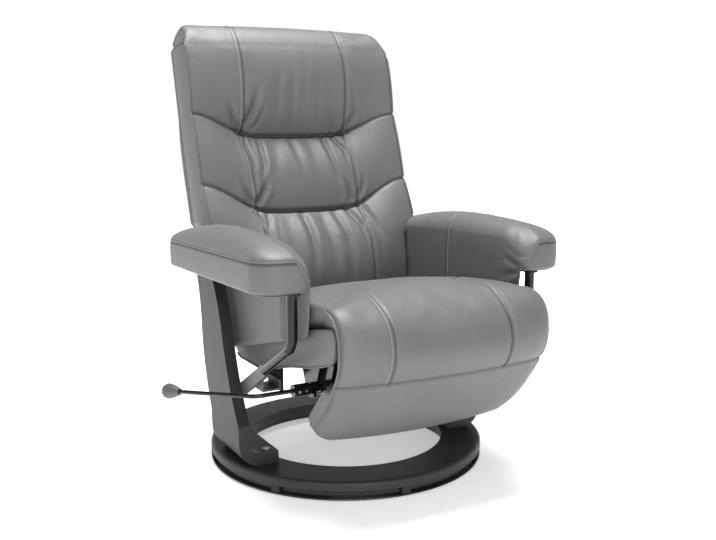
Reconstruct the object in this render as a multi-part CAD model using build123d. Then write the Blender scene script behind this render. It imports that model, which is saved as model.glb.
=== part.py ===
from build123d import *
import os
from math import cos, hypot, radians, sin

# A swivel recliner on a round wooden base, in millimetres.
# +Z is up, the floor is z = 0, the sitter faces -Y and the lever is on the sitter's right, at -X.
# The origin is the centre of the base ring, on the floor.

# Base: a floor ring that stays put and a wooden ring that turns on it
GLIDE_HEIGHT = 3
GLIDE_RADIUS = 14
GLIDE_COUNT = 8
FLOOR_RING_HEIGHT = 16
FLOOR_FLANGE_HEIGHT = 5
FLOOR_RING_WALL = 80
SWIVEL_GAP = 5
BEARING_WIDTH = 24
SWIVEL_RING_HEIGHT = 21
RING_POST_MARGIN = 6
RING_WIDTH = 98
RING_TOP_ROUND = 8
RING_EDGE_ROUND = 2
GUIDE_COUNT = 7
GUIDE_WIDTH = 21
GUIDE_DEPTH = 9
GUIDE_CLEARANCE = 1
FIRST_GUIDE_ANGLE = -94.5

# Posts: bent wood planks that rise from the base ring to the arms
POST_ARM_LAP = 68
POST_THICKNESS = 28
POST_BEND_RADIUS = 50
POST_FOOT_REACH = 95
POST_BASE_FRONT_Y = -114
POST_BASE_REAR_Y = 60
POST_WAIST_Z = 140
POST_WAIST_FRONT_Y = -107
POST_WAIST_REAR_Y = 68
POST_TURN_Z = 327
POST_TURN_FRONT_Y = -18
POST_TURN_REAR_Y = 122
POST_TOP_FRONT_Y = 58
POST_TOP_REAR_Y = 162
POST_SWEEP = 9
FOOT_SCREW_RADIUS = 9
FOOT_SCREW_HEIGHT = 2.5
FOOT_SCREW_INSET = 22

# Arms: a board, a crowned and arched pad and an inner skirt on each side
ARM_WIDTH = 120
ARM_FRONT_Y = -364
ARM_REAR_Y = 236
ARM_BOTTOM_Z = 482
ARM_HEIGHT = 108
ARM_OUTER_CORNER = 56
ARM_INNER_CORNER = 40
ARM_REAR_FLAT = 4
ARM_CREST_Y = -100
ARM_FRONT_FALL = 32
ARM_REAR_FALL = 24
ARM_CROWN_ROUND = 34
ARM_LIP_ROUND = 5
ARM_BOARD_THICKNESS = 12
ARM_BOARD_INSET = 12
ARM_BOARD_GAP = 0.3
SKIRT_THICKNESS = 22
SKIRT_FRONT_Y = -330
SKIRT_REAR_Y = 150
SKIRT_FRONT_Z = 387
SKIRT_SLOPE = 0.25
SKIRT_CORNER = 14

# Arm tube, its mounting flange and the brace that carries it on the post
TUBE_RADIUS = 11
TUBE_SKIRT_GAP = 4
TUBE_FRONT_Y = -335
TUBE_BEND_Z = 373
TUBE_BEND_RADIUS = 45
TUBE_END_Y = -190
TUBE_END_Z = 290
FLANGE_THICKNESS = 4
FLANGE_WIDTH = 26
FLANGE_FRONT_REACH = 18
FLANGE_REAR_REACH = 110
FLANGE_CORNER = 8
BRACE_THICKNESS = 12
BRACE_WIDTH = 28
BRACE_LENGTH = 190
BRACE_BOLT_RADIUS = 8
BRACE_BOLT_HEIGHT = 5
BRACE_BOLT_SPACING = 40

# Seat: steel side rails, a vented deck, leather sides and a crowned cushion
RAIL_THICKNESS = 6
RAIL_HEIGHT = 48
RAIL_FRONT_Z = 405
RAIL_SLOPE = 0.203
RAIL_REAR_Y = 100
RAIL_HOLE_RADIUS = 13
RAIL_HOLE_COUNT = 4
RAIL_HOLE_SPACING = 52
RAIL_EAR_RADIUS = 20
HANGER_FRONT_Y = -156
HANGER_REAR_Y = -92
HANGER_BOTTOM_Z = 226
BRACKET_THICKNESS = 4
BRACKET_HEIGHT = 24
DECK_THICKNESS = 12
DECK_FRONT_Y = -304
DECK_REAR_Y = 75
DECK_VENT_RADIUS = 28
DECK_VENT_COLUMNS = 4
DECK_VENT_ROWS = 3
DECK_VENT_SPACING = 104
SEAT_HALF_WIDTH = 256
SEAT_ARM_GAP = 6
SEAT_REAR_Y = 96
SEAT_REAR_Z = 381
SEAT_REAR_EDGE_RISE = 6
SEAT_MID_CROWN = 16
SEAT_EDGE_CROWN = 7
SEAT_NOSE_LAP = 6
SEAT_NOSE_SETBACK = 13
SIDE_THICKNESS = 10
SIDE_FRONT_Y = -374
SIDE_FRONT_Z = 341
SIDE_KNEE_Y = -70
SIDE_KNEE_Z = 256
SIDE_REAR_Y = 82
SIDE_CORNER = 12
CROSS_TUBE_RADIUS = 12.5
FRONT_CROSS_TUBE_Y = -240
REAR_CROSS_TUBE_Y = 40

# Legrest: a padded panel hinged at the centre of the seat's rounded front edge
NOSE_Y = -393
NOSE_Z = 387
NOSE_RADIUS_MIDDLE = 80
NOSE_RADIUS_END = 67
NOSE_CLEARANCE = 1
NOSE_SECTOR = 98
LEGREST_SEAM_Z = 303
LEGREST_SEAM_MIDDLE_Y = -458
LEGREST_SEAM_END_Y = -434
LEGREST_LIP_Y = -334
LEGREST_LIP_Z = 164
LEGREST_LIP_END_RISE = 14
LEGREST_LIP_ROUND = 10
LEGREST_CHEEK_BULGE = 10
LEGREST_FLAP_BULGE = 14
LEGREST_INNER_SETBACK = 3
LEGREST_INNER_Z = 302
LEGREST_INNER_END_Y = -297
LEGREST_INNER_END_Z = 196
LEGREST_BOARD_THICKNESS = 10
LEGREST_BOARD_MARGIN = 8
HINGE_PIN_RADIUS = 7
HINGE_PLATE_GAP = 4
HINGE_PLATE_THICKNESS = 6
HINGE_PLATE_EYE = 16
HINGE_FOOT_START = 14
HINGE_FOOT_LENGTH = 70
GROOVE_RADIUS = 52
GROOVE_CLEARANCE = 1.5
RUNNING_FIT = 0.05

# Backrest: a leaning board between a channelled cushion and a rear cover
BACK_PIVOT_Y = 207
BACK_PIVOT_Z = 345
BACK_LEAN = 18
BACK_BOARD_THICKNESS = 24
BACK_BOARD_LENGTH = 672
BACK_BOARD_MARGIN = 10
BACK_BOARD_RAIL_GAP = 4
BACK_BOARD_FOOT_LENGTH = 62
BACK_BOARD_SHOULDER = 285
BACK_BOARD_CORNER = 80
BACK_VENT_RADIUS = 34
BACK_VENT_COLUMNS = 3
BACK_VENT_ROWS = 3
BACK_VENT_SPACING = 140
REAR_COVER_THICKNESS = 20
REAR_COVER_ROUND = 13
REAR_COVER_FOOT = 24
BACK_ARM_GAP = 7
BACK_WING_WIDTH = 37
BACK_FOOT_INSET = 14
BACK_WING_CLEARANCE = 12
BACK_WING_FOOT = 60
BACK_EAR_CLEARANCE = 27
BACK_PIN_RADIUS = 8
BACK_PIN_HEAD_RADIUS = 13
BACK_PIN_HEAD = 5
BACK_PIN_DEPTH = 26

# Outline of the back cushion's rolls: (in front of the board's middle, up from the pivot)
BACK_ROLLS_MIDDLE = [(89, -34), (133, 57), (79, 230), (89, 335), (44, 438)]
BACK_ROLLS_SIDE = [(76, -30), (114, 95), (86, 298), (93, 392), (79, 486)]

# Outline of its head: (in front of the board's middle, up from the board's top edge)
BACK_HEAD_MIDDLE = [(111, -132), (113, -7), (92, 41), (53, 67), (1, 58), (-32, 0)]
BACK_HEAD_SIDE = [(110, -98), (112, -20), (96, 22), (56, 44), (-2, 36), (-26, 0)]

# Lever: a cross shaft under the seat with a coil spring, a socket, a bent rod and a knob
LEVER_Y = -305
LEVER_Z = 272
LEVER_SHAFT_RADIUS = 8
LEVER_LOBE_RADIUS = 20
LEVER_LOBE_WIDTH = 120
SOCKET_RADIUS = 13
SOCKET_LENGTH = 36
SOCKET_GAP = 4
SOCKET_GRIP = 16
ROD_RADIUS = 4.5
ROD_REACH = 123
ROD_BEND_RADIUS = 26
KNOB_REACH = 101
KNOB_Y = -77
KNOB_Z = 238
KNOB_RADIUS = 17
KNOB_LENGTH = 52
KNOB_NECK_RADIUS = 7
KNOB_TIP_RADIUS = 4
KNOB_WIDEST = 33
KNOB_GRIP = 16
COLLAR_RADIUS = 13
COLLAR_LENGTH = 8
SPRING_RADIUS = 12.5
SPRING_WIRE_RADIUS = 2
SPRING_PITCH = 6
SPRING_LENGTH = 33
SCREW_RADIUS = 3
SCREW_HEIGHT = 2.5
SCREW_SPACING = 16

# Places worked out from the sizes above
ARM_INNER_X = SEAT_HALF_WIDTH + SEAT_ARM_GAP
ARM_REAR_CORNER = (ARM_WIDTH - ARM_REAR_FLAT) / 2
TUBE_X = ARM_INNER_X + SKIRT_THICKNESS + TUBE_SKIRT_GAP + TUBE_RADIUS
POST_OUTER_X = ARM_INNER_X + POST_ARM_LAP
RING_RADIUS = POST_OUTER_X + RING_POST_MARGIN
FLOOR_TOP = GLIDE_HEIGHT + FLOOR_RING_HEIGHT
RING_BOTTOM = FLOOR_TOP + SWIVEL_GAP
RING_TOP = RING_BOTTOM + SWIVEL_RING_HEIGHT
RING_INNER = RING_RADIUS - RING_WIDTH
FOOT_TOP = RING_TOP + POST_THICKNESS
POST_INNER_X = POST_OUTER_X - POST_THICKNESS
BRACE_INNER_X = POST_INNER_X - BRACE_THICKNESS
RAIL_OUTER_X = SEAT_HALF_WIDTH - SIDE_THICKNESS
RAIL_X = RAIL_OUTER_X - RAIL_THICKNESS
HINGE_PLATE_OUTER_X = RAIL_X - HINGE_PLATE_GAP
HINGE_PLATE_X = HINGE_PLATE_OUTER_X - HINGE_PLATE_THICKNESS
BACK_LOW_HALF_WIDTH = ARM_INNER_X - BACK_ARM_GAP
BACK_HALF_WIDTH = BACK_LOW_HALF_WIDTH + BACK_WING_WIDTH
BACK_FOOT_HALF_WIDTH = RAIL_X - BACK_FOOT_INSET
BACK_WING_Z = ARM_BOTTOM_Z + ARM_HEIGHT + BACK_WING_CLEARANCE
BACK_WING_FOOT_Z = BACK_WING_Z - BACK_WING_FOOT
BACK_FOOT_Z = BACK_PIVOT_Z + RAIL_EAR_RADIUS + BACK_EAR_CLEARANCE
BACK_BOARD_HALF_WIDTH = BACK_HALF_WIDTH - BACK_BOARD_MARGIN
BACK_BOARD_LOW_HALF_WIDTH = BACK_LOW_HALF_WIDTH - BACK_BOARD_MARGIN
BACK_BOARD_FOOT_HALF_WIDTH = RAIL_X - BACK_BOARD_RAIL_GAP
NOSE_AXIS = Axis((0, NOSE_Y, NOSE_Z), (-1, 0, 0))
LEAN_SIN = sin(radians(BACK_LEAN))
LEAN_COS = cos(radians(BACK_LEAN))
SOCKET_X = -RAIL_OUTER_X - SOCKET_GAP
ROD_BEND_X = -RAIL_OUTER_X - ROD_REACH
KNOB_X = ROD_BEND_X - KNOB_REACH


def rail_top(y):
    """Height of the sloping top edge of the seat rails."""
    return RAIL_FRONT_Z - RAIL_SLOPE * (y - NOSE_Y)


def deck_top(y):
    """Height of the sloping top of the seat deck."""
    return rail_top(y) + DECK_THICKNESS


def back_point(forward, along):
    """Side-view place of a backrest point, in front of the board's middle and up along it."""
    y = BACK_PIVOT_Y - forward * LEAN_COS + along * LEAN_SIN
    z = BACK_PIVOT_Z + forward * LEAN_SIN + along * LEAN_COS
    return y, z


def side_face(*edges):
    """A side-view face from edges of (y, z) points: two points make a line, three an arc."""
    return make_face([Line(*e) if len(e) == 2 else ThreePointArc(*e) for e in edges])


def slab(x0, x1, face):
    """A plate with a side-view outline, from x0 to x1."""
    return extrude(Plane.YZ.offset(x0) * face, x1 - x0)


def bar(x0, x1, y, z, radius):
    """A round bar along X."""
    return slab(x0, x1, Pos(y, z) * Circle(radius))


def hull_of(*shapes):
    """The outline drawn tight round side-view circles and lines."""
    return make_hull([edge for shape in shapes for edge in shape.edges()])


def eye(y, z, radius):
    """A side-view circle."""
    return Pos(y, z) * Circle(radius)


def crowned(section, half_width):
    """A padded solid whose side-view section swells from both ends to the middle."""
    return loft([Plane.YZ.offset(x) * section(x == 0) for x in (-half_width, 0, half_width)])


def both_sides(piece):
    """A piece and its twin on the other side of the chair."""
    return [piece, mirror(piece, about=Plane.YZ)]


def ring(inner, outer, bottom, height):
    """A flat ring round the swivel axis."""
    return Pos(0, 0, bottom) * extrude(Circle(outer) - Circle(inner), height)


def bow(start, end, height):
    """A point beside the middle of a side-view line, bowed out to its left by a height."""
    run_y, run_z = end[0] - start[0], end[1] - start[1]
    length = hypot(run_y, run_z)
    y = (start[0] + end[0]) / 2 - run_z / length * height
    z = (start[1] + end[1]) / 2 + run_y / length * height
    return y, z


def arc_between(start, end, height):
    """A bowed edge for side_face."""
    return start, bow(start, end, height), end


# Base


def floor_ring():
    groove = RING_RADIUS - GUIDE_DEPTH - GUIDE_CLEARANCE
    inner = RING_RADIUS - FLOOR_RING_WALL
    flange = ring(inner, RING_RADIUS, GLIDE_HEIGHT, FLOOR_FLANGE_HEIGHT)
    rims = flange.edges().filter_by(GeomType.CIRCLE).group_by(SortBy.RADIUS)[-1]
    return fillet(rims, RING_EDGE_ROUND) + ring(inner, groove, GLIDE_HEIGHT, FLOOR_RING_HEIGHT)


def floor_glides():
    places = PolarLocations(RING_RADIUS - FLOOR_RING_WALL / 2, GLIDE_COUNT)
    return [place * extrude(Circle(GLIDE_RADIUS), GLIDE_HEIGHT) for place in places]


def bearing_ring():
    middle = RING_RADIUS - RING_WIDTH / 2
    return ring(middle - BEARING_WIDTH / 2, middle + BEARING_WIDTH / 2, FLOOR_TOP, SWIVEL_GAP)


def swivel_ring():
    body = ring(RING_INNER, RING_RADIUS, RING_BOTTOM, SWIVEL_RING_HEIGHT)
    inner_rims = body.edges().filter_by(GeomType.CIRCLE).group_by(SortBy.RADIUS)[0]
    body = fillet(inner_rims, RING_EDGE_ROUND)
    outer_rims = body.edges().filter_by(GeomType.CIRCLE).group_by(SortBy.RADIUS)[-1]
    return fillet(outer_rims.sort_by(Axis.Z)[-1], RING_TOP_ROUND)


def swivel_guides():
    bottom = GLIDE_HEIGHT + FLOOR_FLANGE_HEIGHT + GUIDE_CLEARANCE
    height = RING_BOTTOM - bottom
    band = ring(RING_RADIUS - GUIDE_DEPTH, RING_RADIUS, bottom, height)
    block = Pos(RING_RADIUS, 0, bottom + height / 2) * Box(RING_WIDTH, GUIDE_WIDTH, height)
    turns = [FIRST_GUIDE_ANGLE + i * 360 / GUIDE_COUNT for i in range(GUIDE_COUNT)]
    return [band & (Rot(0, 0, turn) * block) for turn in turns]


# Posts


def right_post():
    inner_bend = POST_BEND_RADIUS - POST_THICKNESS
    outer, inner = -POST_OUTER_X, -POST_INNER_X
    reach = outer + POST_FOOT_REACH
    turn = outer + POST_BEND_RADIUS
    low = Line((reach, RING_TOP), (turn, RING_TOP))
    outer_bend = TangentArc(low @ 1, (outer, RING_TOP + POST_BEND_RADIUS), tangent=(-1, 0))
    outside = Line(outer_bend @ 1, (outer, ARM_BOTTOM_Z))
    top = Line(outside @ 1, (inner, ARM_BOTTOM_Z))
    inside = Line(top @ 1, (inner, FOOT_TOP + inner_bend))
    bend = TangentArc(inside @ 1, (turn, FOOT_TOP), tangent=(0, -1))
    upper = Line(bend @ 1, (reach, FOOT_TOP))
    tip = Line(upper @ 1, low @ 0)
    profile = make_face([low, outer_bend, outside, top, inside, bend, upper, tip])
    depth = POST_TOP_REAR_Y - POST_BASE_FRONT_Y
    bent = extrude(Plane.XZ.offset(-POST_TOP_REAR_Y) * profile, depth)
    front = [
        (POST_BASE_FRONT_Y, RING_TOP),
        (POST_WAIST_FRONT_Y, POST_WAIST_Z),
        (POST_TURN_FRONT_Y, POST_TURN_Z),
        (POST_TOP_FRONT_Y, ARM_BOTTOM_Z),
    ]
    rear = [
        (POST_TOP_REAR_Y, ARM_BOTTOM_Z),
        (POST_TURN_REAR_Y, POST_TURN_Z),
        (POST_WAIST_REAR_Y, POST_WAIST_Z),
        (POST_BASE_REAR_Y, RING_TOP),
    ]
    outline = side_face(
        (front[0], front[1]),
        arc_between(front[1], front[2], -POST_SWEEP),
        arc_between(front[2], front[3], POST_SWEEP),
        (front[3], rear[0]),
        arc_between(rear[0], rear[1], -POST_SWEEP),
        arc_between(rear[1], rear[2], POST_SWEEP),
        (rear[2], rear[3]),
        (rear[3], front[0]),
    )
    return bent & slab(outer, reach, outline)


def foot_screws():
    x = POST_OUTER_X - POST_FOOT_REACH + FOOT_SCREW_INSET
    ys = (POST_BASE_FRONT_Y + FOOT_SCREW_INSET, POST_BASE_REAR_Y - FOOT_SCREW_INSET)
    head = extrude(Circle(FOOT_SCREW_RADIUS), FOOT_SCREW_HEIGHT)
    return [Pos(side * x, y, FOOT_TOP) * head for side in (-1, 1) for y in ys]


# Arms


def arm_outline():
    """Plan outline of the right arm."""
    length = ARM_REAR_Y - ARM_FRONT_Y
    plan = Pos(-ARM_INNER_X - ARM_WIDTH / 2, ARM_FRONT_Y + length / 2) * Rectangle(ARM_WIDTH, length)
    plan = fillet(plan.vertices().group_by(Axis.Y)[-1], ARM_REAR_CORNER)
    plan = fillet(plan.vertices().group_by(Axis.Y)[0].sort_by(Axis.X)[0], ARM_OUTER_CORNER)
    return fillet(plan.vertices().sort_by(Axis.Y)[:2].sort_by(Axis.X)[-1], ARM_INNER_CORNER)


def right_arm_board():
    plan = offset(arm_outline(), -ARM_BOARD_INSET - ARM_BOARD_GAP)
    return Pos(0, 0, ARM_BOTTOM_Z) * extrude(plan, ARM_BOARD_THICKNESS)


def right_arm_pad():
    crest = ARM_BOTTOM_Z + ARM_HEIGHT
    front_low, front_top = (ARM_FRONT_Y, ARM_BOTTOM_Z), (ARM_FRONT_Y, crest - ARM_FRONT_FALL)
    rear_low, rear_top = (ARM_REAR_Y, ARM_BOTTOM_Z), (ARM_REAR_Y, crest - ARM_REAR_FALL)
    arch = side_face(
        (front_low, rear_low),
        (rear_low, rear_top),
        (rear_top, (ARM_CREST_Y, crest), front_top),
        (front_top, front_low),
    )
    pad = Pos(0, 0, ARM_BOTTOM_Z) * extrude(arm_outline(), ARM_HEIGHT + ARM_WIDTH)
    pad &= slab(-ARM_INNER_X - ARM_WIDTH, -ARM_INNER_X, arch)
    pad = fillet(pad.faces().sort_by(Axis.Z)[-1].edges(), ARM_CROWN_ROUND)
    pad = fillet(pad.faces().sort_by(Axis.Z)[0].edges(), ARM_LIP_ROUND)
    pocket = extrude(offset(arm_outline(), -ARM_BOARD_INSET), ARM_BOARD_THICKNESS)
    return pad - Pos(0, 0, ARM_BOTTOM_Z) * pocket


def right_arm_skirt():
    rear_z = SKIRT_FRONT_Z - SKIRT_SLOPE * (SKIRT_REAR_Y - SKIRT_FRONT_Y)
    front_top, front_low = (SKIRT_FRONT_Y, ARM_BOTTOM_Z), (SKIRT_FRONT_Y, SKIRT_FRONT_Z)
    rear_low, rear_top = (SKIRT_REAR_Y, rear_z), (SKIRT_REAR_Y, ARM_BOTTOM_Z)
    outline = make_face(Polyline(front_top, front_low, rear_low, rear_top, close=True))
    outline = fillet(outline.vertices().sort_by(Axis.Y)[:2], SKIRT_CORNER)
    return slab(-ARM_INNER_X - SKIRT_THICKNESS, -ARM_INNER_X, outline)


def leg_direction():
    """Side-view direction of the arm tube's lower leg, pointing down and back."""
    run_y, run_z = TUBE_END_Y - TUBE_FRONT_Y, TUBE_END_Z - TUBE_BEND_Z
    length = hypot(run_y, run_z)
    return run_y / length, run_z / length


def right_arm_tube():
    path = FilletPolyline(
        (-TUBE_X, TUBE_FRONT_Y, ARM_BOTTOM_Z - FLANGE_THICKNESS),
        (-TUBE_X, TUBE_FRONT_Y, TUBE_BEND_Z),
        (-TUBE_X, TUBE_END_Y, TUBE_END_Z),
        radius=TUBE_BEND_RADIUS,
    )
    return sweep(Plane(origin=path @ 0, z_dir=path % 0) * Circle(TUBE_RADIUS), path=path)


def right_arm_flange():
    length = FLANGE_FRONT_REACH + FLANGE_REAR_REACH
    y = TUBE_FRONT_Y - FLANGE_FRONT_REACH + length / 2
    plan = Pos(-TUBE_X, y) * RectangleRounded(FLANGE_WIDTH, length, FLANGE_CORNER)
    return Pos(0, 0, ARM_BOTTOM_Z - FLANGE_THICKNESS) * extrude(plan, FLANGE_THICKNESS)


def on_brace(distance, side=0):
    """Side-view place on the brace, back from the tube's end and to one side of its centre line."""
    along_y, along_z = leg_direction()
    y = TUBE_END_Y + along_y * distance - along_z * side
    z = TUBE_END_Z + along_z * distance + along_y * side
    return y, z


def right_brace():
    half = BRACE_WIDTH / 2
    upper, upper_end = on_brace(0, half), on_brace(BRACE_LENGTH, half)
    lower, lower_end = on_brace(0, -half), on_brace(BRACE_LENGTH, -half)
    outline = side_face(
        (upper, upper_end),
        (upper_end, on_brace(BRACE_LENGTH + half), lower_end),
        (lower_end, lower),
        (lower, upper),
    )
    return slab(-POST_INNER_X, -BRACE_INNER_X, outline)


def brace_bolts():
    places = [on_brace(BRACE_LENGTH), on_brace(BRACE_LENGTH - BRACE_BOLT_SPACING)]
    inner = -BRACE_INNER_X
    bolts = [bar(inner, inner + BRACE_BOLT_HEIGHT, y, z, BRACE_BOLT_RADIUS) for y, z in places]
    return [twin for bolt in bolts for twin in both_sides(bolt)]


# Seat


def right_side_bracket():
    bottom = HANGER_BOTTOM_Z + BRACKET_THICKNESS
    top = bottom + BRACKET_HEIGHT
    outer, inner = -BRACE_INNER_X, -RAIL_OUTER_X
    web = bottom + BRACKET_THICKNESS
    profile = make_face(Polyline(
        (outer, top), (outer, bottom), (inner, bottom), (inner, top),
        (inner - BRACKET_THICKNESS, top), (inner - BRACKET_THICKNESS, web),
        (outer + BRACKET_THICKNESS, web), (outer + BRACKET_THICKNESS, top), close=True,
    ))
    return extrude(Plane.XZ.offset(-HANGER_REAR_Y) * profile, HANGER_REAR_Y - HANGER_FRONT_Y)


def right_seat_rail():
    front, rear = (NOSE_Y, rail_top(NOSE_Y)), (RAIL_REAR_Y, rail_top(RAIL_REAR_Y))
    front_low, rear_low = (front[0], front[1] - RAIL_HEIGHT), (rear[0], rear[1] - RAIL_HEIGHT)
    band = make_face(Polyline(front, front_low, rear_low, rear, close=True))
    rear_end = eye(RAIL_REAR_Y, rail_top(RAIL_REAR_Y) - RAIL_HEIGHT / 2, RAIL_EAR_RADIUS)
    back_ear = hull_of(rear_end, eye(BACK_PIVOT_Y, BACK_PIVOT_Z, RAIL_EAR_RADIUS))
    lobe_z = rail_top(LEVER_Y) - RAIL_HEIGHT / 2
    half = LEVER_LOBE_WIDTH / 2
    lobe_root = Line((LEVER_Y - half, lobe_z), (LEVER_Y + half, lobe_z))
    lobe = hull_of(eye(LEVER_Y, LEVER_Z, LEVER_LOBE_RADIUS), lobe_root)
    hanger_top = rail_top(HANGER_REAR_Y) - RAIL_HEIGHT / 2
    hanger = make_face(Polyline(
        (HANGER_FRONT_Y, HANGER_BOTTOM_Z), (HANGER_REAR_Y, HANGER_BOTTOM_Z),
        (HANGER_REAR_Y, hanger_top), (HANGER_FRONT_Y, hanger_top), close=True,
    ))
    outline = band + eye(NOSE_Y, NOSE_Z, RAIL_EAR_RADIUS) + back_ear + lobe + hanger
    outline -= eye(NOSE_Y, NOSE_Z, HINGE_PIN_RADIUS + RUNNING_FIT)
    outline -= eye(BACK_PIVOT_Y, BACK_PIVOT_Z, BACK_PIN_RADIUS + RUNNING_FIT)
    outline -= eye(LEVER_Y, LEVER_Z, LEVER_SHAFT_RADIUS + RUNNING_FIT)
    first = (FRONT_CROSS_TUBE_Y + REAR_CROSS_TUBE_Y - (RAIL_HOLE_COUNT - 1) * RAIL_HOLE_SPACING) / 2
    for i in range(RAIL_HOLE_COUNT):
        y = first + i * RAIL_HOLE_SPACING
        outline -= eye(y, rail_top(y) - RAIL_HEIGHT / 2, RAIL_HOLE_RADIUS)
    return slab(-RAIL_OUTER_X, -RAIL_X, outline)


def cross_tube(y):
    return bar(-RAIL_X, RAIL_X, y, rail_top(y) - RAIL_HEIGHT / 2, CROSS_TUBE_RADIUS)


def seat_deck():
    front, rear = DECK_FRONT_Y, DECK_REAR_Y
    outline = make_face(Polyline(
        (front, rail_top(front)), (rear, rail_top(rear)),
        (rear, deck_top(rear)), (front, deck_top(front)), close=True,
    ))
    deck = slab(-RAIL_OUTER_X, RAIL_OUTER_X, outline)
    middle = (front + rear) / 2
    vents = GridLocations(DECK_VENT_SPACING, DECK_VENT_SPACING, DECK_VENT_COLUMNS, DECK_VENT_ROWS)
    tall = RAIL_FRONT_Z
    for place in vents:
        deck -= Pos(0, middle, 0) * place * extrude(Circle(DECK_VENT_RADIUS), tall + DECK_THICKNESS)
    return deck


def nose_profile(clearance):
    """Half section of the barrel-shaped front roll, in the level plane through its axis."""
    half = SEAT_HALF_WIDTH + clearance
    end, middle = NOSE_RADIUS_END + clearance, NOSE_RADIUS_MIDDLE + clearance
    edges = [
        Line((-half, NOSE_Y), (half, NOSE_Y)),
        Line((half, NOSE_Y), (half, NOSE_Y - end)),
        ThreePointArc((half, NOSE_Y - end), (0, NOSE_Y - middle), (-half, NOSE_Y - end)),
        Line((-half, NOSE_Y - end), (-half, NOSE_Y)),
    ]
    return Pos(0, 0, NOSE_Z) * make_face(edges)


def nose_room():
    """The whole round space that the front roll turns in."""
    return revolve(nose_profile(NOSE_CLEARANCE), NOSE_AXIS, 360)


def seat_section(is_middle):
    nose = NOSE_RADIUS_MIDDLE if is_middle else NOSE_RADIUS_END
    rise = 0 if is_middle else SEAT_REAR_EDGE_RISE
    crown = SEAT_MID_CROWN if is_middle else SEAT_EDGE_CROWN
    front_top = (NOSE_Y + SEAT_NOSE_SETBACK, NOSE_Z + nose + SEAT_NOSE_LAP)
    rear_top = (SEAT_REAR_Y, SEAT_REAR_Z + rise)
    rear_low = (SEAT_REAR_Y, deck_top(SEAT_REAR_Y))
    front_low = (DECK_FRONT_Y, deck_top(DECK_FRONT_Y))
    return side_face(
        (front_low, rear_low),
        (rear_low, rear_top),
        arc_between(rear_top, front_top, -crown),
        (front_top, front_low),
    )


def seat_cushion():
    return crowned(seat_section, SEAT_HALF_WIDTH) - nose_room()


def right_seat_side():
    front, knee = (SIDE_FRONT_Y, SIDE_FRONT_Z), (SIDE_KNEE_Y, SIDE_KNEE_Z)
    rear_low, rear = (SIDE_REAR_Y, SIDE_KNEE_Z), (SIDE_REAR_Y, deck_top(SIDE_REAR_Y))
    front_top = (SIDE_FRONT_Y, deck_top(SIDE_FRONT_Y))
    outline = make_face(Polyline(front, knee, rear_low, rear, front_top, close=True))
    outline = fillet(outline.vertices().sort_by(Axis.X)[-2:].sort_by(Axis.Y)[0], SIDE_CORNER)
    return slab(-SEAT_HALF_WIDTH, -RAIL_OUTER_X, outline) - nose_room()


# Legrest


def board_line(distance, height=0):
    """Side-view place on the legrest's sloping inner face, down from its top and behind it."""
    top = (NOSE_Y - LEGREST_INNER_SETBACK, LEGREST_INNER_Z)
    run_y, run_z = LEGREST_INNER_END_Y - top[0], LEGREST_INNER_END_Z - top[1]
    length = hypot(run_y, run_z)
    along_y, along_z = run_y / length, run_z / length
    y = top[0] + along_y * distance - along_z * height
    z = top[1] + along_z * distance + along_y * height
    return y, z


def board_length():
    top_y, top_z = board_line(0)
    return hypot(LEGREST_INNER_END_Y - top_y, LEGREST_INNER_END_Z - top_z)


def legrest_section(is_middle):
    nose = NOSE_RADIUS_MIDDLE if is_middle else NOSE_RADIUS_END
    seam_y = LEGREST_SEAM_MIDDLE_Y if is_middle else LEGREST_SEAM_END_Y
    rise = 0 if is_middle else LEGREST_LIP_END_RISE
    inner_top = (NOSE_Y - LEGREST_INNER_SETBACK, NOSE_Z)
    front_top = (NOSE_Y - nose, NOSE_Z)
    seam = (seam_y, LEGREST_SEAM_Z)
    lip = (LEGREST_LIP_Y, LEGREST_LIP_Z + rise)
    lip_top = (LEGREST_INNER_END_Y, LEGREST_INNER_END_Z)
    return side_face(
        (inner_top, front_top),
        arc_between(front_top, seam, -LEGREST_CHEEK_BULGE),
        arc_between(seam, lip, -LEGREST_FLAP_BULGE),
        arc_between(lip, lip_top, -LEGREST_LIP_ROUND),
        (lip_top, board_line(0)),
        (board_line(0), inner_top),
    )


def hinge_groove(side):
    """The room in the pad for a seat rail's front ear and a hinge plate, over the whole lift."""
    x0 = HINGE_PLATE_X - GROOVE_CLEARANCE
    x1 = RAIL_OUTER_X + GROOVE_CLEARANCE
    reach = RAIL_EAR_RADIUS + GROOVE_CLEARANCE
    room = NOSE_RADIUS_MIDDLE + NOSE_CLEARANCE
    strip = make_face(Polyline(
        (NOSE_Y - reach, NOSE_Z), (NOSE_Y + room, NOSE_Z - GROOVE_RADIUS),
        (NOSE_Y + room, NOSE_Z + room), (NOSE_Y - reach, NOSE_Z + room), close=True,
    ))
    groove = slab(x0, x1, strip) + bar(x0, x1, NOSE_Y, NOSE_Z, GROOVE_RADIUS)
    return groove if side > 0 else mirror(groove, about=Plane.YZ)


def legrest_roll():
    roll = revolve(nose_profile(0), NOSE_AXIS, NOSE_SECTOR)
    return roll - hinge_groove(1) - hinge_groove(-1)


def legrest_pad():
    return crowned(legrest_section, SEAT_HALF_WIDTH) - hinge_groove(1) - hinge_groove(-1)


def legrest_board():
    start, end = LEGREST_BOARD_MARGIN, board_length() - LEGREST_BOARD_MARGIN
    thick = LEGREST_BOARD_THICKNESS
    outline = make_face(Polyline(
        board_line(start), board_line(end), board_line(end, thick), board_line(start, thick), close=True,
    ))
    return slab(-HINGE_PLATE_OUTER_X, HINGE_PLATE_OUTER_X, outline)


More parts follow.
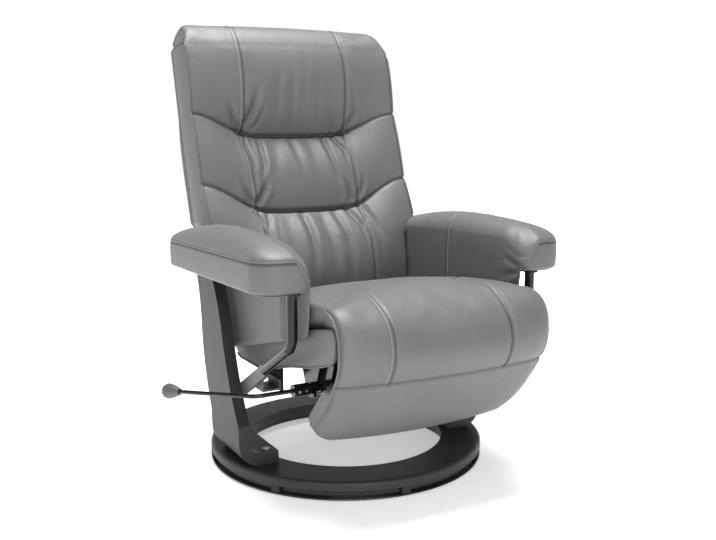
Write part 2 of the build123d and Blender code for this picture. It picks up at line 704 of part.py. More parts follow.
def right_hinge_plate():
    thick = LEGREST_BOARD_THICKNESS
    end = HINGE_FOOT_START + HINGE_FOOT_LENGTH
    foot = Line(board_line(HINGE_FOOT_START, thick), board_line(end, thick))
    outline = hull_of(eye(NOSE_Y, NOSE_Z, HINGE_PLATE_EYE), foot)
    outline -= eye(NOSE_Y, NOSE_Z, HINGE_PIN_RADIUS + RUNNING_FIT)
    return slab(-HINGE_PLATE_OUTER_X, -HINGE_PLATE_X, outline)


def legrest_hinge_pins():
    return both_sides(bar(-RAIL_OUTER_X, -HINGE_PLATE_X, NOSE_Y, NOSE_Z, HINGE_PIN_RADIUS))


# Backrest


def back_plane(forward):
    """A plane parallel to the back board, with its y axis up along the board."""
    y, z = back_point(forward, 0)
    return Plane(origin=(0, y, z), x_dir=(1, 0, 0), z_dir=(0, -LEAN_COS, LEAN_SIN))


def back_outline(foot):
    """Outline of the back board above a foot height, as seen square to the board."""
    low, wide = BACK_BOARD_LOW_HALF_WIDTH, BACK_BOARD_HALF_WIDTH
    half = [
        (BACK_BOARD_FOOT_HALF_WIDTH, foot),
        (BACK_BOARD_FOOT_HALF_WIDTH, BACK_BOARD_FOOT_LENGTH),
        (low, BACK_BOARD_FOOT_LENGTH + low - BACK_BOARD_FOOT_HALF_WIDTH),
        (low, BACK_BOARD_SHOULDER),
        (wide, BACK_BOARD_SHOULDER + wide - low),
        (wide, BACK_BOARD_LENGTH),
    ]
    outline = make_face(Polyline(*half, *[(-x, v) for x, v in reversed(half)], close=True))
    return fillet(outline.vertices().group_by(Axis.Y)[-1], BACK_BOARD_CORNER)


def back_board():
    half = BACK_BOARD_THICKNESS / 2
    outline = back_outline(-half)
    vents = GridLocations(BACK_VENT_SPACING, BACK_VENT_SPACING, BACK_VENT_COLUMNS, BACK_VENT_ROWS)
    for place in vents:
        outline -= Pos(0, BACK_BOARD_LENGTH / 2) * place * Circle(BACK_VENT_RADIUS)
    board = extrude(back_plane(-half) * outline, BACK_BOARD_THICKNESS)
    edge = BACK_BOARD_FOOT_HALF_WIDTH
    bore = bar(edge - BACK_PIN_DEPTH, edge, BACK_PIVOT_Y, BACK_PIVOT_Z, BACK_PIN_RADIUS + RUNNING_FIT)
    for hole in both_sides(bore):
        board -= hole
    return board


def back_section(is_middle):
    rolls, head = (BACK_ROLLS_MIDDLE, BACK_HEAD_MIDDLE) if is_middle else (BACK_ROLLS_SIDE, BACK_HEAD_SIDE)
    foot, lumbar, lower_pleat, waist, upper_pleat = [back_point(*place) for place in rolls]
    brow_low, brow, top_front, top, top_rear, rear = [back_point(f, BACK_BOARD_LENGTH + v) for f, v in head]
    face = BACK_BOARD_THICKNESS / 2
    board_foot, board_top = back_point(face, 0), back_point(face, BACK_BOARD_LENGTH)
    return side_face(
        (board_foot, foot),
        (foot, lumbar, lower_pleat),
        (lower_pleat, waist, upper_pleat),
        (upper_pleat, brow_low, brow),
        (brow, top_front, top),
        (top, top_rear, rear),
        (rear, board_top),
        (board_top, board_foot),
    )


def corner_room(half_width, top, rear):
    """Two blocks that narrow the back cushion to a half width below a height and in front of a depth."""
    depth = BACK_PIVOT_Y * 4
    block = Pos(-half_width, rear, top) * Box(
        BACK_HALF_WIDTH, depth, BACK_PIVOT_Z, align=(Align.MAX, Align.MAX, Align.MAX)
    )
    return both_sides(block)


def back_cushion():
    cushion = crowned(back_section, BACK_HALF_WIDTH)
    behind = BACK_PIVOT_Y * 2
    arm_room = corner_room(BACK_LOW_HALF_WIDTH, BACK_WING_Z, ARM_REAR_Y + BACK_WING_CLEARANCE)
    skirt_room = corner_room(BACK_LOW_HALF_WIDTH, BACK_WING_FOOT_Z, behind)
    ear_room = corner_room(BACK_FOOT_HALF_WIDTH, BACK_FOOT_Z, behind)
    for block in arm_room + skirt_room + ear_room:
        cushion -= block
    return cushion


def rear_cover():
    rear = -BACK_BOARD_THICKNESS / 2 - REAR_COVER_THICKNESS
    cover = extrude(back_plane(rear) * back_outline(REAR_COVER_FOOT), REAR_COVER_THICKNESS)
    outer = cover.faces().sort_by(Axis((0, 0, 0), (0, LEAN_COS, -LEAN_SIN)))[-1]
    return fillet(outer.edges(), REAR_COVER_ROUND)


def back_pivot_pins():
    inner = BACK_BOARD_FOOT_HALF_WIDTH - BACK_PIN_DEPTH
    pin = bar(-RAIL_OUTER_X, -inner, BACK_PIVOT_Y, BACK_PIVOT_Z, BACK_PIN_RADIUS)
    head = bar(-RAIL_OUTER_X - BACK_PIN_HEAD, -RAIL_OUTER_X, BACK_PIVOT_Y, BACK_PIVOT_Z, BACK_PIN_HEAD_RADIUS)
    return both_sides(pin + head)


# Lever


def lever_shaft():
    left_end = RAIL_OUTER_X + GUIDE_CLEARANCE + COLLAR_LENGTH
    return bar(SOCKET_X - SOCKET_GRIP, left_end, LEVER_Y, LEVER_Z, LEVER_SHAFT_RADIUS)


def lever_collar():
    inner = RAIL_OUTER_X + GUIDE_CLEARANCE
    ring_face = eye(LEVER_Y, LEVER_Z, COLLAR_RADIUS) - eye(LEVER_Y, LEVER_Z, LEVER_SHAFT_RADIUS + RUNNING_FIT)
    return slab(inner, inner + COLLAR_LENGTH, ring_face)


def lever_spring():
    start = Vector(-RAIL_X, LEVER_Y, LEVER_Z)
    coil = Helix(SPRING_PITCH, SPRING_LENGTH, SPRING_RADIUS, center=start, direction=(1, 0, 0))
    wire = Plane(origin=coil @ 0, z_dir=coil % 0) * Circle(SPRING_WIRE_RADIUS)
    ground = bar(-RAIL_X, -RAIL_X + SPRING_LENGTH, LEVER_Y, LEVER_Z, SPRING_RADIUS * 2)
    return sweep(wire, path=coil, is_frenet=True) & ground


def lever_socket():
    outer = SOCKET_X - SOCKET_LENGTH
    shaft_end = SOCKET_X - SOCKET_GRIP
    body = bar(outer, SOCKET_X, LEVER_Y, LEVER_Z, SOCKET_RADIUS)
    body -= bar(shaft_end, SOCKET_X, LEVER_Y, LEVER_Z, LEVER_SHAFT_RADIUS + RUNNING_FIT)
    return body - bar(outer, outer + SOCKET_GRIP, LEVER_Y, LEVER_Z, ROD_RADIUS + RUNNING_FIT)


def socket_screws():
    front = LEVER_Y - SOCKET_RADIUS
    middle = SOCKET_X - SOCKET_LENGTH / 2
    flat = Plane(origin=(middle, front, LEVER_Z), x_dir=(1, 0, 0), z_dir=(0, -1, 0))
    head = extrude(Circle(SCREW_RADIUS), SCREW_HEIGHT)
    return [flat * Pos(side * SCREW_SPACING / 2, 0, 0) * head for side in (-1, 1)]


def knob_plane():
    """The knob's place: its neck at the origin and its axis along the rod's outer leg."""
    bend, tip = Vector(ROD_BEND_X, LEVER_Y, LEVER_Z), Vector(KNOB_X, KNOB_Y, KNOB_Z)
    along = (tip - bend).normalized()
    return Plane(origin=tip - along * (KNOB_LENGTH / 2), z_dir=along)


def lever_rod():
    outer = SOCKET_X - SOCKET_LENGTH + SOCKET_GRIP
    neck = knob_plane()
    path = FilletPolyline(
        (outer, LEVER_Y, LEVER_Z),
        (ROD_BEND_X, LEVER_Y, LEVER_Z),
        neck.origin + neck.z_dir * KNOB_GRIP,
        radius=ROD_BEND_RADIUS,
    )
    return sweep(Plane(origin=path @ 0, z_dir=path % 0) * Circle(ROD_RADIUS), path=path)


def lever_knob():
    neck, widest, end = (KNOB_NECK_RADIUS, 0), (KNOB_RADIUS, KNOB_WIDEST), (KNOB_TIP_RADIUS, KNOB_LENGTH)
    foot, tip = (0, 0), (0, KNOB_LENGTH)
    swell, crown = bow(neck, widest, -1), bow(widest, end, -4)
    profile = side_face((foot, neck), (neck, swell, widest), (widest, crown, end), (end, tip), (tip, foot))
    knob = revolve(Plane.XZ * profile, Axis.Z, 360)
    bore = extrude(Circle(ROD_RADIUS + RUNNING_FIT), KNOB_GRIP)
    return knob_plane() * (knob - bore)


def save(name, shape):
    solids = shape if isinstance(shape, list) else [shape]
    export_step(Compound(children=[s for piece in solids for s in piece.solids()]), f"parts/{name}.step")


SINGLE = (
    floor_ring, floor_glides, bearing_ring, swivel_ring, swivel_guides, foot_screws, brace_bolts,
    seat_deck, seat_cushion, legrest_roll, legrest_pad, legrest_board, legrest_hinge_pins,
    back_board, back_cushion, rear_cover, back_pivot_pins,
    lever_shaft, lever_collar, lever_spring, lever_socket, socket_screws, lever_rod, lever_knob,
)
PAIRED = (
    right_post, right_arm_board, right_arm_pad, right_arm_skirt, right_arm_tube, right_arm_flange,
    right_brace, right_side_bracket, right_seat_rail, right_seat_side, right_hinge_plate,
)

os.makedirs("parts", exist_ok=True)
for make in SINGLE:
    save(make.__name__, make())
for make in PAIRED:
    right, left = both_sides(make())
    save(make.__name__, right)
    save(make.__name__.replace("right", "left"), left)
save("front_cross_tube", cross_tube(FRONT_CROSS_TUBE_Y))
save("rear_cross_tube", cross_tube(REAR_CROSS_TUBE_Y))
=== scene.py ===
import math

import bpy
import numpy as np
from mathutils import Matrix, Vector


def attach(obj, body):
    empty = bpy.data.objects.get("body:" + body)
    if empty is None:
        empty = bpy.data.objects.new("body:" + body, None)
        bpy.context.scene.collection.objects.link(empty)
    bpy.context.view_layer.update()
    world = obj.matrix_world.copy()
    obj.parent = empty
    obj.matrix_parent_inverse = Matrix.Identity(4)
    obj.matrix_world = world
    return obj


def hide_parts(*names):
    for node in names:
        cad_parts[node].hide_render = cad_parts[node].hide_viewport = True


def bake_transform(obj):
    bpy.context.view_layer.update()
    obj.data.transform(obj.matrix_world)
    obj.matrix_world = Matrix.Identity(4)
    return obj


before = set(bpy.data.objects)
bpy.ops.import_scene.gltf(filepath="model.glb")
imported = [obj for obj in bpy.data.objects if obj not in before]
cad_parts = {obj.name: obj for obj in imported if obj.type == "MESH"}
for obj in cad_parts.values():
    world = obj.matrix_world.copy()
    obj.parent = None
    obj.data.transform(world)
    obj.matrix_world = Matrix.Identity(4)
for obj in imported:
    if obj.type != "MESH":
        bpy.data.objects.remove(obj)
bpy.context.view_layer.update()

bl_info = {
    "name": "Swivel recliner upholstery",
    "version": (1, 0, 0),
    "blender": (4, 5, 0),
    "location": "3D View > Sidebar > Recliner",
    "description": "Sews, fills and finishes the leather, wood and steel of a swivel recliner",
    "category": "Object",
}

# Sizes are in millimetres in the chair's frame: +Z up, -Y to the front, the floor at z = 0.
# Side-view points are (y, z).

# Backrest: (forward of the board's middle, up along the board from the pivot)
BACK_PIVOT = (207, 345)
BACK_LEAN = math.radians(18)
BACK_HALF_WIDTH = 292
BACK_LOW_HALF_WIDTH = 254
BACK_FOOT_HALF_WIDTH = 226
BACK_WING_HEIGHT = (512, 556)
BACK_REAR_WING_HEIGHT = (528, 560)
BACK_FOOT_HEIGHT = (378, 394)
BACK_MIDDLE = {
    "foot": (89, -34), "lumbar": (130, 57), "lower_pleat": (77, 229), "waist": (86, 335),
    "upper_pleat": (42, 440), "head": (106, 540), "brow": (110, 665), "top_front": (92, 715),
    "top": (53, 743), "top_rear": (1, 732), "rear": (-30, 674),
}
BACK_SIDE = {
    "foot": (76, -30), "lumbar": (112, 95), "lower_pleat": (97, 303), "waist": (100, 394),
    "upper_pleat": (93, 487), "head": (108, 572), "brow": (108, 660), "top_front": (94, 708),
    "top": (62, 732), "top_rear": (30, 718), "rear": (12, 690),
}
ROLL_MIDDLE = (54, 672)
ROLL_END_WIDTH = 30
ROLL_END_DROP = 13
ROLL_NARROWING = 0.028
BACK_SEAM_X = 146

# Panels of the back: the points that each one's curves go through, and its number of steps up
BACK_PANELS = (
    (("foot", "lumbar", "lower_pleat"), 40),
    (("lower_pleat", "waist", "upper_pleat"), 30),
    (("upper_pleat", "head", "brow"), 33),
    (("brow", "top_front", "top"), 14),
    (("top", "top_rear", "rear"), 14),
)
BACK_COLUMNS = 79
BACK_SIDE_COLUMNS = 14
BACK_SIDE_BULGE = 5
BACK_INNER_SHARE = 0.985
BACK_HOLD = 0.04
BACK_SLACK = (0.01, 0.03)
BACK_CAP = 18
BOARD_REAR = -13
BOARD_STRAIGHT = 480
BOARD_TOP = (686, 710)
BOARD_TOP_FORWARD = (-3, 3)
PLEAT_DEPTH = (3, 5)
PINCH_DEPTH = 7

# Folds of the back's leather as (depth, half width, line): the line starts at the seam that gathers the fold
# and its points are (across, up along the board from the pivot).
BACK_FOLDS = (
    (6, 8, ((-160, 444), (-180, 484), (-189, 533))),
    (7, 9, ((-154, 444), (-123, 499), (-101, 575))),
    (3, 7, ((-140, 442), (-109, 470), (-77, 530))),
    (2.4, 13, ((-56, 450), (-54, 545), (-27, 680))),
    (3.2, 14, ((-14, 450), (-9, 570), (-14, 690))),
    (2.6, 12, ((22, 452), (26, 566), (40, 680))),
    (2, 14, ((62, 452), (58, 536), (72, 650))),
    (3.5, 8, ((112, 446), (99, 485), (98, 540))),
    (5, 9, ((150, 450), (176, 485), (169, 570))),
    (5.5, 7, ((-154, 432), (-144, 347), (-146, 275))),
    (5, 7, ((-105, 432), (-109, 356), (-135, 268))),
    (7, 8, ((-146, 248), (-121, 285), (-100, 335))),
    (6, 7, ((-160, 252), (-176, 290), (-186, 330))),
    (1.8, 14, ((-58, 430), (-75, 345), (-100, 270))),
    (3, 9, ((-12, 430), (-4, 354), (8, 285))),
    (1.6, 12, ((39, 430), (41, 352), (44, 262))),
    (5, 8, ((84, 434), (92, 346), (103, 262))),
    (5.5, 7, ((108, 440), (134, 397), (140, 310))),
    (6, 7, ((128, 246), (122, 285), (104, 330))),
    (5, 7, ((150, 254), (166, 290), (170, 330))),
    (5, 7, ((-151, 226), (-141, 190), (-141, 130))),
    (4.5, 7, ((-122, 222), (-131, 176), (-136, 110))),
    (5, 9, ((-24, 220), (-22, 155), (-32, 10))),
    (1.6, 14, ((-74, 214), (-76, 153), (-80, 70))),
    (3.4, 14, ((28, 214), (29, 98), (27, -10))),
    (5, 10, ((67, 224), (80, 158), (98, 60))),
    (3, 12, ((72, 140), (76, 70), (78, -10))),
    (6, 8, ((107, 230), (132, 175), (138, 80))),
    (5, 9, ((152, 236), (179, 167), (212, 105))),
    (4, 10, ((150, 210), (171, 138), (186, 60))),
)

# Rear panel: its foot and shoulder are up along the board from the pivot, its corner is (inward, upward)
# and its crown is (at the edge, along the middle, across the middle).
REAR_PANEL_FOOT = 12
REAR_PANEL_SHOULDER = 590
REAR_PANEL_CORNER = (72, 80)
REAR_PANEL_HALF_WIDTH = 285
REAR_PANEL_INSET = 6
REAR_PANEL_INNER = -12.6
REAR_PANEL_TAPER = 5
REAR_PANEL_CROWN = (8, 14, 8)
REAR_PANEL_RIPPLE = 0.8

# Seat and legrest
NOSE = (-393, 387)
NOSE_RADIUS = (81, 79)
SEAT_HALF_WIDTH = 256
SEAT_REAR = ((96, 381), (96, 387))
SEAT_CROWN = (16, 18)
SEAT_SEAM_X = 142.6
SEAT_EDGE_ROLL = 44
SEAT_EDGE_DROP = (6, 14, 18, 5, 34, 28)
SEAT_DART = ((150, -250), (245, -140))
LEGREST_INNER_X = 228
LEGREST_CORNER = 26
NOSE_LAP_ANGLE = 98
FRONT_SEAM = ((-458, 303), (-434, 303))
FRONT_LIP = ((-334, 151), (-332, 166))
FRONT_LIP_TOP = (-297, 196)
CHEEK_BULGE = 10
FLAP_BULGE = 14
LIP_BULGE = 10
SEAT_PANEL_ROWS = (66, 20, 12, 27, 7)
SEAT_COLUMNS = 71
SEAT_SIDE_COLUMNS = 7
SEAT_SIDE_BULGE = 1.5
SEAT_HOLD = 0.06
SEAT_SLACK = 0.003
SEAT_CAP = 16
SEAT_DECK_Y = (96, -304)
DECK_FRONT = (-393, 405)
DECK_SLOPE = 0.203
DECK_THICKNESS = 12
LEGREST_INNER = ((-392, 392), (-397, 302), (-308, 208), (-300, 199))

# Leather sides of the seat and the lined board between them, below the deck's front edge
SEAT_SIDE_BOTTOM = ((-434, 353), (-332, 323), (-228, 301), (-70, 257), (60, 256), (82, 262))
SEAT_SIDE_ENDS = (-433, 81)
SEAT_SIDE_X = (246.5, 256.5)
SEAT_SIDE_CROWN = 2
SEAT_SIDE_SAG = 0.7
HINGE_ROUND = 44
LINING_LOW = (-240, -322, 284)
LINING_HIGH = (240, -306, 404)
LINING_THICKNESS = 1.5

# Arms: the leather runs from the crown down the inner side as one piece with the skirt
ARM_INNER_X = 262
ARM_WIDTH = 120
ARM_FRONT_Y = -364
ARM_REAR_Y = 236
ARM_EDGE_Z = (484, 470)
ARM_SEAM_Z = (550, 532)
ARM_TOP_Z = 591
ARM_TOP_Y = -100
ARM_TOP_FALL = (17, 44)
ARM_FRONT_SLOPE = 95
ARM_CROSS_SEAM_Y = -50
ARM_CORNER_RADII = (30, 57, 58, 58)
ARM_PLAN_STEP = 7
ARM_SEAM_DROP = 36
ARM_TOP_REACH = (264, 336)
ARM_HOLD = 0.08
ARM_SIDE_HOLD = 0.3
ARM_CAP = 8
SKIRT_THICKNESS = 22
SKIRT_FRONT_Y = -344
SKIRT_REAR_Y = 150
SKIRT_FRONT_Z = 387
SKIRT_SLOPE = 0.25
ARM_FOLDS = (
    (2.2, 7, ((352, -60), (336, -105), (326, -150))),
    (2, 7, ((356, -105), (342, -150), (334, -190))),
)
SKIRT_FOLDS = (
    (3.5, 6, ((-346, 492), (-308, 502), (-268, 518))),
    (4, 6, ((-346, 482), (-300, 472), (-258, 458))),
    (3.5, 6, ((-342, 468), (-318, 438), (-304, 404))),
)

# Seams and folds: a fold's ridge is (share of its depth, place, width), the last two in widths of the fold
SEAM_DEPTH = 3.6
SEAM_WIDTH = 2.6
SEAM_SHADE_WIDTH = 2.4
LAP_RISE = 1.6
LAP_EDGE = 3
STITCH_DEPTH = 1.4
FOLD_RIDGE = (0.4, 1.9, 1.1)
FOLD_START = (-8, 12)
FOLD_FADE = 0.4

# Filling the leather: a hold is how firmly loose points are sewn, a slack is the share by which
# leather is cut too wide, and a cap is the furthest that a point may move.
CLOTH = {
    "quality": 6, "mass": 0.3, "tension_stiffness": 20, "compression_stiffness": 20, "shear_stiffness": 8,
    "bending_stiffness": 1.5, "use_pressure": True,
}
FILL_FRAMES = 20
EDGE_HOLD = 0.95
INNER_COLUMNS = 13
WRINKLE_SEED = 7
WRINKLE_START = 0.15

# Stage: places and widths are in metres, the floor's reach, the lens and the sensor in millimetres.
# Each light has a place, a share of the power and a width.
LIGHTS = {
    "key": ((-0.8, -2.4, 1.2), 1.2, 2.0),
    "side": ((-2.6, -0.6, 1.8), 0.15, 1.2),
    "top": ((0.0, 0.2, 4.2), 12.0, 2.4),
}
LIGHT_TARGET = (0, 0, 0.5)
CAMERA_PLACE = (-1.0507, -1.9760, 0.825)
CAMERA_DEGREES = (-28, 0.78, 9.33)
CAMERA_LENS = 46.46
CAMERA_SENSOR = 36
FLOOR_REACH = 9000


def hex_colour(code):
    """An sRGB hex colour as linear RGBA."""
    parts = [int(code[i:i + 2], 16) / 255 for i in (1, 3, 5)]
    return (*[c / 12.92 if c <= 0.04045 else ((c + 0.055) / 1.055) ** 2.4 for c in parts], 1.0)


def colour_property(name, description, code):
    return bpy.props.FloatVectorProperty(
        name=name, description=description, subtype="COLOR", size=4, min=0, max=1, default=hex_colour(code)
    )


def length_property(name, description, millimetres):
    return bpy.props.FloatProperty(
        name=name, description=description, default=millimetres * 0.001, min=0,
        unit="LENGTH", subtype="DISTANCE",
    )


def amount_property(name, description, value):
    return bpy.props.FloatProperty(name=name, description=description, default=value, min=0)


class LeatherSettings(bpy.types.PropertyGroup):
    hide: colour_property("Hide", "Colour of the leather", "#545454")
    thread: colour_property("Thread", "Colour of the sewing thread", "#868686")
    pebble: length_property("Pebble", "Width of one cell of the grain, drawn wide enough to show", 3.0)
    piping_radius: length_property("Piping", "Radius of the welt along the sewn edges", 2.4)
    stitch_length: length_property("Stitch", "Length of one stitch, drawn long enough to show", 6)
    stitch_pitch: length_property("Stitch pitch", "Distance from one stitch to the next", 7.5)
    stitch_radius: length_property("Thread radius", "Radius of the thread, drawn thick enough to show", 0.75)
    stitch_offset: length_property("Stitch offset", "Distance from a seam to its row of stitches", 9)
    pressure: amount_property("Fill", "Pressure of the fill in the leather", 4)


class FrameSettings(bpy.types.PropertyGroup):
    posts: colour_property("Posts", "Stain of the posts", "#1f1f22")
    ring: colour_property("Ring", "Stain of the ring", "#29292b")
    black: colour_property("Black", "Colour of the coated tubes and the moulding", "#0b0b0c")
    grey: colour_property("Grey", "Paint of the braces and brackets", "#45484a")


class StageSettings(bpy.types.PropertyGroup):
    floor: colour_property("Floor", "Colour of the floor", "#f4f4f4")
    light: amount_property("Light", "Power in watts that each light has a share of", 30)
    surround: amount_property("Surround", "Strength of the light overhead", 0.2)
    glow: amount_property("Glow", "Light given off by the floor near the chair", 0.4)


# Small tools


def add_node(tree, kind, inputs=None, **settings):
    """Adds a node with its settings; an input is a value or the socket that feeds it."""
    node = tree.nodes.new(kind)
    for name, value in settings.items():
        setattr(node, name, value)
    for name, value in (inputs or {}).items():
        if isinstance(value, bpy.types.NodeSocket):
            tree.links.new(value, node.inputs[name])
        else:
            node.inputs[name].default_value = value
    return node


def per_metre(millimetres):
    """Texture scale that gives one cell per stated size."""
    return 1000 / millimetres


def ease(low, high, value):
    t = np.clip((value - low) / (high - low), 0, 1)
    return t * t * (3 - 2 * t)


def mesh_piece(name, points, faces, material):
    """A smooth-shaded piece at the origin, from points in millimetres."""
    mesh = bpy.data.meshes.new(name)
    mesh.from_pydata((np.asarray(points) * 0.001).tolist(), [], faces)
    mesh.shade_smooth()
    mesh.materials.append(material)
    piece = bpy.data.objects.new(name, mesh)
    bpy.context.scene.collection.objects.link(piece)
    return piece


def slab_piece(name, low, high, material):
    """A thin board across the chair, leaning from its lower front edge to its upper rear edge."""
    (x0, y0, z0), (x1, y1, z1) = low, high
    edges = ((y0, z0), (y1, z1))
    points = [(x, y + d, z) for x in (x0, x1) for y, z in edges for d in (0, LINING_THICKNESS)]
    faces = [(0, 1, 3, 2), (4, 6, 7, 5), (0, 2, 6, 4), (1, 5, 7, 3), (0, 4, 5, 1), (2, 3, 7, 6)]
    return mesh_piece(name, points, faces, material)


def ring_faces(rows, columns):
    """Quads between neighbouring rings of points."""
    faces = []
    for i in range(rows - 1):
        for j in range(columns):
            k = (j + 1) % columns
            faces.append((i * columns + j, i * columns + k, (i + 1) * columns + k, (i + 1) * columns + j))
    return faces


def closed_skin(name, rings, material, crease_and_painted_shade=None):
    """A closed piece from a stack of rings, its end rings filled and painted shade marked in its creases."""
    rows, columns, _ = rings.shape
    faces = ring_faces(rows, columns)
    faces.append(tuple(range(columns - 1, -1, -1)))
    faces.append(tuple(range((rows - 1) * columns, rows * columns)))
    piece = mesh_piece(name, rings.reshape(-1, 3), faces, material)
    # Painted shade: the marks become a point attribute that darkens the leather's colour in its creases and
    # seams.
    if crease_and_painted_shade is not None:
        marks = piece.data.attributes.new("crease_and_painted_shade", "FLOAT", "POINT")
        marks.data.foreach_set("value", np.clip(crease_and_painted_shade, 0, 1).astype(np.float32).ravel())
    return piece


def through(start, middle, end, count):
    """Rows along the curves through three side-view points, one curve per column."""
    start, middle, end = (np.atleast_2d(np.asarray(p, float)) for p in (start, middle, end))
    first = np.linalg.norm(middle - start, axis=-1)
    second = np.linalg.norm(end - middle, axis=-1)
    knot = (first / (first + second))[None, :, None]
    t = np.linspace(0, 1, count + 1)[:, None, None]
    return (
        start * (t - knot) * (t - 1) / knot
        + middle * t * (t - 1) / (knot * (knot - 1))
        + end * t * (t - knot) / (1 - knot)
    )


def bowed(start, end, height):
    """The point beside the middle of each line from start to end, to its left by a height."""
    run = end - start
    left = np.stack([-run[..., 1], run[..., 0]], -1) / np.linalg.norm(run, axis=-1)[..., None]
    return (start + end) / 2 + left * height


def joined(*parts):
    """Rows of curves that follow each other, each shared row once."""
    return np.concatenate([parts[0]] + [p[1:] for p in parts[1:]])


def ring_stack(front, inner, side_count, bulge):
    """Closed rings: the front skin, a side, the inner skin and the other side."""
    t = np.linspace(0, 1, side_count + 2)[1:-1][None, :, None]
    out = np.sin(np.pi * t) * np.array([bulge, 0, 0])
    near = front[:, -1:] * (1 - t) + inner[:, :1] * t + out
    far = inner[:, -1:] * (1 - t) + front[:, :1] * t - out
    return np.concatenate([front, near, inner, far], axis=1)


def finer(grid, axis, wrap):
    """Twice as many points along an axis, on a smooth curve through the old ones."""
    grid = np.moveaxis(grid, axis, 0)
    count = len(grid)
    if wrap:
        before, after, next_after = (np.roll(grid, s, 0) for s in (1, -1, -2))
    else:
        index = np.arange(count)
        before, after, next_after = (grid[np.clip(index + s, 0, count - 1)] for s in (-1, 1, 2))
    between = (9 * (grid + after) - before - next_after) / 16
    fine = np.empty((2 * count, *grid.shape[1:]))
    fine[0::2], fine[1::2] = grid, between
    return np.moveaxis(fine if wrap else fine[:-1], 0, axis)


def normals_of(rings):
    """Outward direction at each point of a stack of rings."""
    across = np.roll(rings, -1, 1) - np.roll(rings, 1, 1)
    along = np.gradient(rings, axis=0)
    normal = np.cross(across, along)
    return normal / np.maximum(np.linalg.norm(normal, axis=-1, keepdims=True), 1e-9)


def inflate(rings, cut, sewn, pressure, cap, soften):
    """Fills a leather skin: pressure swells it, and leather cut too wide gathers at the sewn points."""
    scene = bpy.context.scene
    rows, columns, _ = rings.shape
    wrinkles = np.random.default_rng(WRINKLE_SEED).normal(0, WRINKLE_START, rings.shape)
    start = rings + wrinkles * (1 - sewn[..., None])
    mesh = bpy.data.meshes.new("skin")
    mesh.from_pydata((start.reshape(-1, 3) * 0.001).tolist(), [], ring_faces(rows, columns))
    skin = bpy.data.objects.new("skin", mesh)
    scene.collection.objects.link(skin)
    skin.shape_key_add(name="sewn")
    wide = skin.shape_key_add(name="cut")
    wide.data.foreach_set("co", (cut * 0.001).astype(np.float32).ravel())
    group = skin.vertex_groups.new(name="sewn")
    weights = np.round(sewn.reshape(-1), 2)
    for weight in np.unique(weights):
        group.add(np.flatnonzero(weights == weight).tolist(), float(weight), "REPLACE")
    cloth = skin.modifiers.new("fill", "CLOTH")
    settings = cloth.settings
    for name, value in CLOTH.items():
        setattr(settings, name, value)
    settings.uniform_pressure_force = pressure
    settings.rest_shape_key = wide
    settings.vertex_group_mass = group.name
    settings.effector_weights.gravity = 0
    cloth.collision_settings.use_collision = False
    cloth.point_cache.frame_start, cloth.point_cache.frame_end = 1, FILL_FRAMES
    for number in range(1, FILL_FRAMES + 1):
        scene.frame_set(number)
    filled = skin.evaluated_get(bpy.context.evaluated_depsgraph_get()).to_mesh()
    points = np.empty(rows * columns * 3, np.float32)
    filled.vertices.foreach_get("co", points)
    bpy.data.objects.remove(skin)
    scene.frame_set(1)
    move = points.reshape(rings.shape).astype(float) * 1000 - rings
    for _ in range(soften):
        beside = np.roll(move, 1, 1) + np.roll(move, -1, 1)
        above_below = np.concatenate([move[:1], move[:-1]]) + np.concatenate([move[1:], move[-1:]])
        move = (2 * move + beside + above_below) / 6
    far = np.linalg.norm(move, axis=-1, keepdims=True)
    return rings + move * np.minimum(1, cap / np.maximum(far, 1e-6))


def cut_wider(rings, slack):
    """Rings as the leather was cut: stretched across by a share that varies with the place across."""
    x = rings[..., 0]
    grid = np.linspace(-1, 1, 201)
    half = np.abs(x).max()
    width = np.concatenate([[0], np.cumsum((1 + slack(grid))[1:])]) * (grid[1] - grid[0])
    width -= width[100]
    cut = rings.copy()
    cut[..., 0] = np.interp(x / half, grid, width) * half
    return cut


def fold_relief(x, y, folds):
    """Depth of folds at places on a skin: creases between soft ridges, fading from where they start."""
    share, place_beside, breadth = FOLD_RIDGE
    relief = np.zeros(x.shape)
    for depth, width, line in folds:
        line = np.array(line, float)
        steps = np.linalg.norm(np.diff(line, axis=0), axis=1)
        walked = np.concatenate([[0], np.cumsum(steps)])
        off, place = np.full(x.shape, np.inf), np.zeros(x.shape)
        for start, end, before, step in zip(line[:-1], line[1:], walked, steps):
            run = (end - start) / step
            t = np.clip((x - start[0]) * run[0] + (y - start[1]) * run[1], 0, step)
            away = np.hypot(x - start[0] - run[0] * t, y - start[1] - run[1] * t)
            place = np.where(away < off, before + t, place)
            off = np.minimum(off, away)
        fade = ease(*FOLD_START, place) * (1 - ease(FOLD_FADE, 1, place / walked[-1]))
        off = off / width
        ridge = share * np.exp(-((off - place_beside) / breadth) ** 2)
        relief += depth * fade * (np.exp(-off ** 2) - ridge)
    return relief


def fell_seam(off, width):
    """Depth of a lapped seam across its line: the seam, a raised lap and the stitches at the lap's edge."""
    lap = ease(0, LAP_EDGE, off) * (1 - ease(width - LAP_EDGE, width, off))
    seam, row = (np.exp(-((off - at) / SEAM_WIDTH) ** 2) for at in (0, width))
    return SEAM_DEPTH * seam - LAP_RISE * lap + STITCH_DEPTH * row


def seam_mark(off):
    """Share of shade along a seam."""
    return np.exp(-(off / SEAM_SHADE_WIDTH) ** 2)


def line_across(rings, places, target):
    """The line on a skin where its across-places have a value: one point per row."""
    line = []
    for row, place in zip(rings, places):
        line.append([np.interp(target, place, row[:len(place), k]) for k in range(3)])
    return np.array(line)


def path_curves(name, lines):
    """Poly curves through lines of points in millimetres."""
    curve = bpy.data.curves.new(name, "CURVE")
    curve.dimensions = "3D"
    for line in lines:
        spline = curve.splines.new("POLY")
        spline.points.add(len(line) - 1)
        places = np.c_[np.asarray(line) * 0.001, np.ones(len(line))]
        spline.points.foreach_set("co", places.astype(np.float32).ravel())
    piece = bpy.data.objects.new(name, curve)
    bpy.context.scene.collection.objects.link(piece)
    return piece


